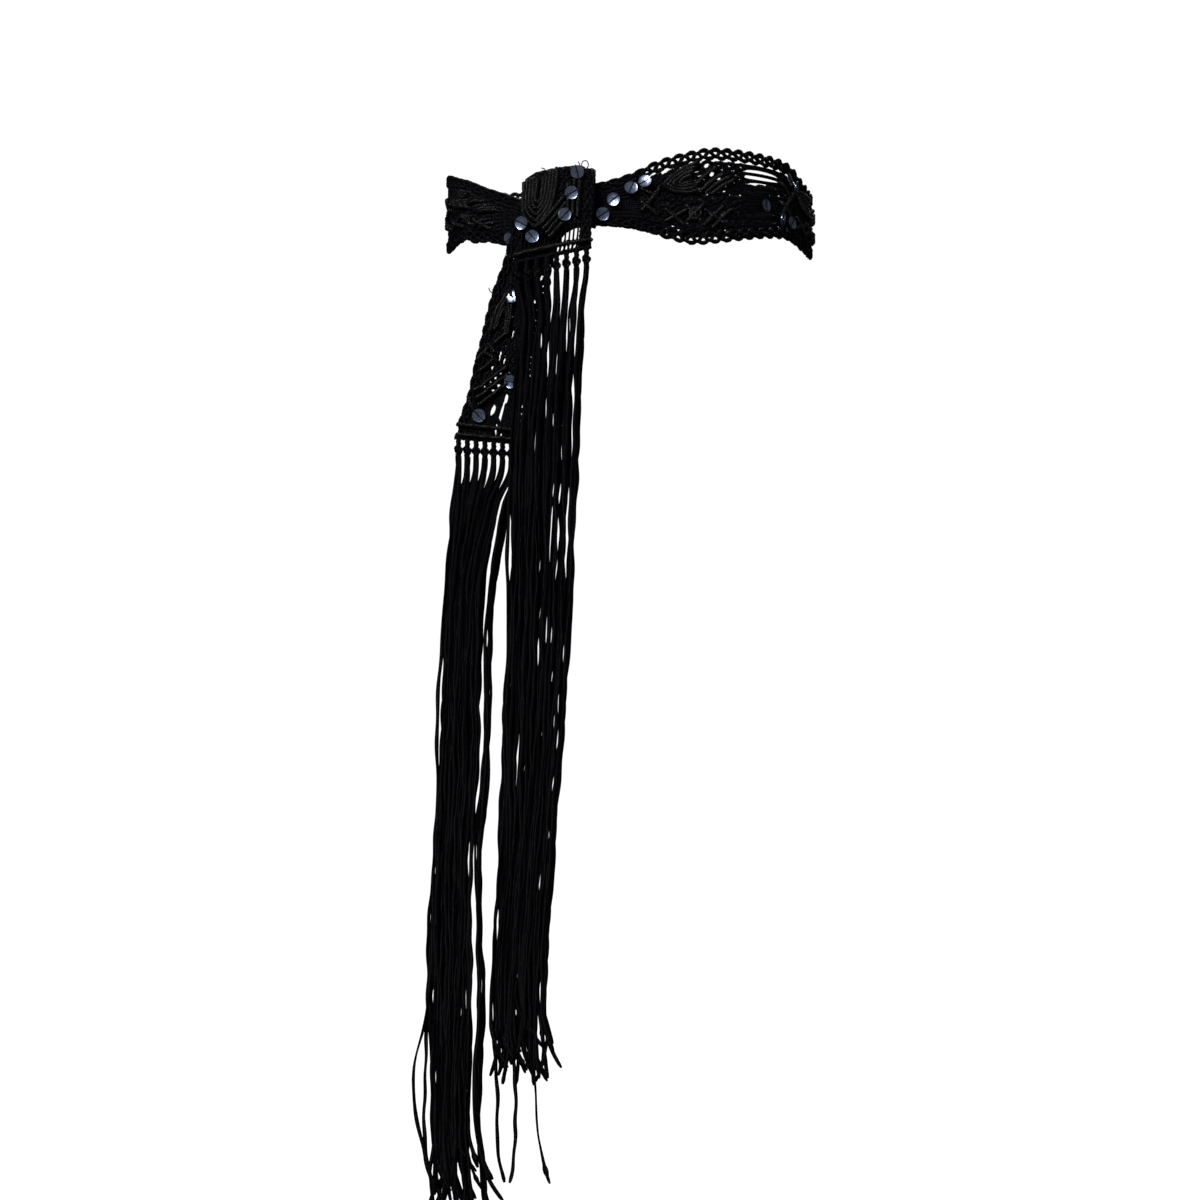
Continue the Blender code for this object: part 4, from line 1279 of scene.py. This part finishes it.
def paillette_material():
    """Silvered plastic with fine scratches, and a clear skin."""
    material = plain_material("silvered_disc", colour=DISC_DARK[:3], roughness=0.2)
    tree = material.node_tree
    shader = tree.nodes["Principled BSDF"]
    shader.inputs["Metallic"].default_value = DISC_METAL
    shader.inputs["Coat Weight"].default_value = DISC_SKIN
    shader.inputs["Coat Roughness"].default_value = DISC_SKIN_ROUGHNESS
    place = tree.nodes.new("ShaderNodeTexCoord")
    scratches = noise_over(tree, place, SCRATCH_SCALE, detail=3.0)
    clouds = noise_over(tree, place, DISC_CLOUD_SCALE, detail=2.0)
    tone = tree.nodes.new("ShaderNodeMix")
    tone.data_type = "RGBA"
    tone.inputs["A"].default_value = DISC_DARK
    tone.inputs["B"].default_value = DISC_BRIGHT
    tree.links.new(clouds, tone.inputs["Factor"])
    tree.links.new(tone.outputs["Result"], shader.inputs["Base Color"])
    rough = tree.nodes.new("ShaderNodeMapRange")
    rough.inputs["To Min"].default_value = DISC_SMOOTHEST
    rough.inputs["To Max"].default_value = DISC_ROUGHEST
    tree.links.new(scratches, rough.inputs["Value"])
    tree.links.new(rough.outputs["Result"], shader.inputs["Roughness"])
    relief = tree.nodes.new("ShaderNodeBump")
    relief.inputs["Distance"].default_value = SCRATCH_DEPTH
    tree.links.new(scratches, relief.inputs["Height"])
    tree.links.new(relief.outputs["Normal"], shader.inputs["Normal"])
    return material


SILVERED = paillette_material()


def disc_frame(place, disc):
    """Where a disc sits: its middle, and its three directions, the last one out of its face."""
    run, across = disc.run * MM, disc.across * MM
    spot, out = over_cloth(place, [run], [across], DISC_OUT)
    along = unit(place(np.array([run + NUDGE]), np.array([across]), np.array([DISC_OUT])) - spot)[0]
    side = np.cross(out[0], along)
    normal = out[0] + disc.lean_along * along + disc.lean_across * side
    normal = normal / np.linalg.norm(normal)
    along = np.cross(np.cross(normal, along), normal)
    along = along / np.linalg.norm(along)
    return spot[0], along, np.cross(normal, along), normal


def sew_discs(node, place, discs):
    """All the discs of one piece of the belt, with their threads."""
    points, faces = [], []
    threads = Skein()
    profile = [(radius, height + DISC_THICKNESS / 2) for radius, height in DISC_RINGS]
    profile += [(radius, height - DISC_THICKNESS / 2) for radius, height in reversed(DISC_RINGS)]
    rim_radius, rim_height = DISC_RINGS[-1]
    for disc in discs:
        spot, along, side, normal = disc_frame(place, disc)
        base = len(points)
        for radius, height in profile:
            for k in range(DISC_SIDES):
                turn = math.tau * k / DISC_SIDES
                flat = along * math.cos(turn) + side * math.sin(turn)
                points.append(tuple(spot + radius * flat + height * normal))
        for ring_index in range(len(profile)):
            low = base + ring_index * DISC_SIDES
            high = base + (ring_index + 1) % len(profile) * DISC_SIDES
            for k in range(DISC_SIDES):
                after = (k + 1) % DISC_SIDES
                faces.append((low + k, low + after, high + after, high + k))
        way = along * math.cos(disc.thread) + side * math.sin(disc.thread)
        reach = np.linspace(-THREAD_REACH, THREAD_REACH, 23)
        past_rim = np.clip(np.abs(reach) - 1.0, 0.0, 1.0) / (THREAD_REACH - 1.0)
        rise = THREAD_LIFT + rim_height * reach**2 - THREAD_DIP * past_rim
        path = spot + reach[:, None] * rim_radius * way + rise[:, None] * normal
        threads.add(path, np.broadcast_to(normal, path.shape), THREAD_RADIUS, sides=5)
    mesh = bpy.data.meshes.new(node + "_discs")
    mesh.from_pydata(points, [], faces)
    mesh.shade_smooth()
    mesh.set_sharp_from_angle(angle=math.radians(DISC_SHARP_ANGLE))
    mesh.materials.append(SILVERED)
    piece = put_in_scene(node + "_discs", mesh)
    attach(piece, "root")
    threads.finish(node + "_threads", KNOTTED_RAYON, node)


for stretch in STRETCHES:
    inside = [disc for disc in BAND_DISCS if stretch.start < disc.run * MM < stretch.end]
    sew_discs(stretch.node, waist_place, inside)
sew_discs("flap", flap_place, FLAP_DISCS)
sew_discs("tail", tail_place, TAIL_DISCS)

# The loose threads: a small loop on top of the flap, and a few ends of fine thread at the belt's edges
# Each row is a thread, as places that it passes through.
LOOSE_RADIUS = 0.00036
LOOSE_THREADS = (
    (
        (-0.0300, -0.0945, 0.0070),
        (-0.0282, -0.0948, 0.0098),
        (-0.0294, -0.0950, 0.0126),
        (-0.0320, -0.0950, 0.0122),
        (-0.0326, -0.0948, 0.0094),
        (-0.0306, -0.0945, 0.0070),
    ),
    ((-0.0325, -0.0935, 0.0060), (-0.0337, -0.0942, 0.0098), (-0.0350, -0.0946, 0.0122)),
    ((-0.0215, -0.0965, -0.0065), (-0.0196, -0.0970, -0.0078), (-0.0186, -0.0972, -0.0100)),
    ((-0.0560, -0.0940, 0.0040), (-0.0570, -0.0946, 0.0072), (-0.0592, -0.0950, 0.0080)),
    ((-0.0895, -0.0960, -0.0745), (-0.0925, -0.0968, -0.0738), (-0.0938, -0.0970, -0.0712)),
)

loose = Skein()
for points in LOOSE_THREADS:
    table = [(k, *point) for k, point in enumerate(points)]
    path = smooth(table, np.linspace(0.0, len(points) - 1.0, 8 * len(points))).T
    loose.add(path, np.broadcast_to((0.0, -1.0, 0.0), path.shape), LOOSE_RADIUS, sides=5)
loose.finish("flap_loose_threads", KNOTTED_RAYON, "flap")
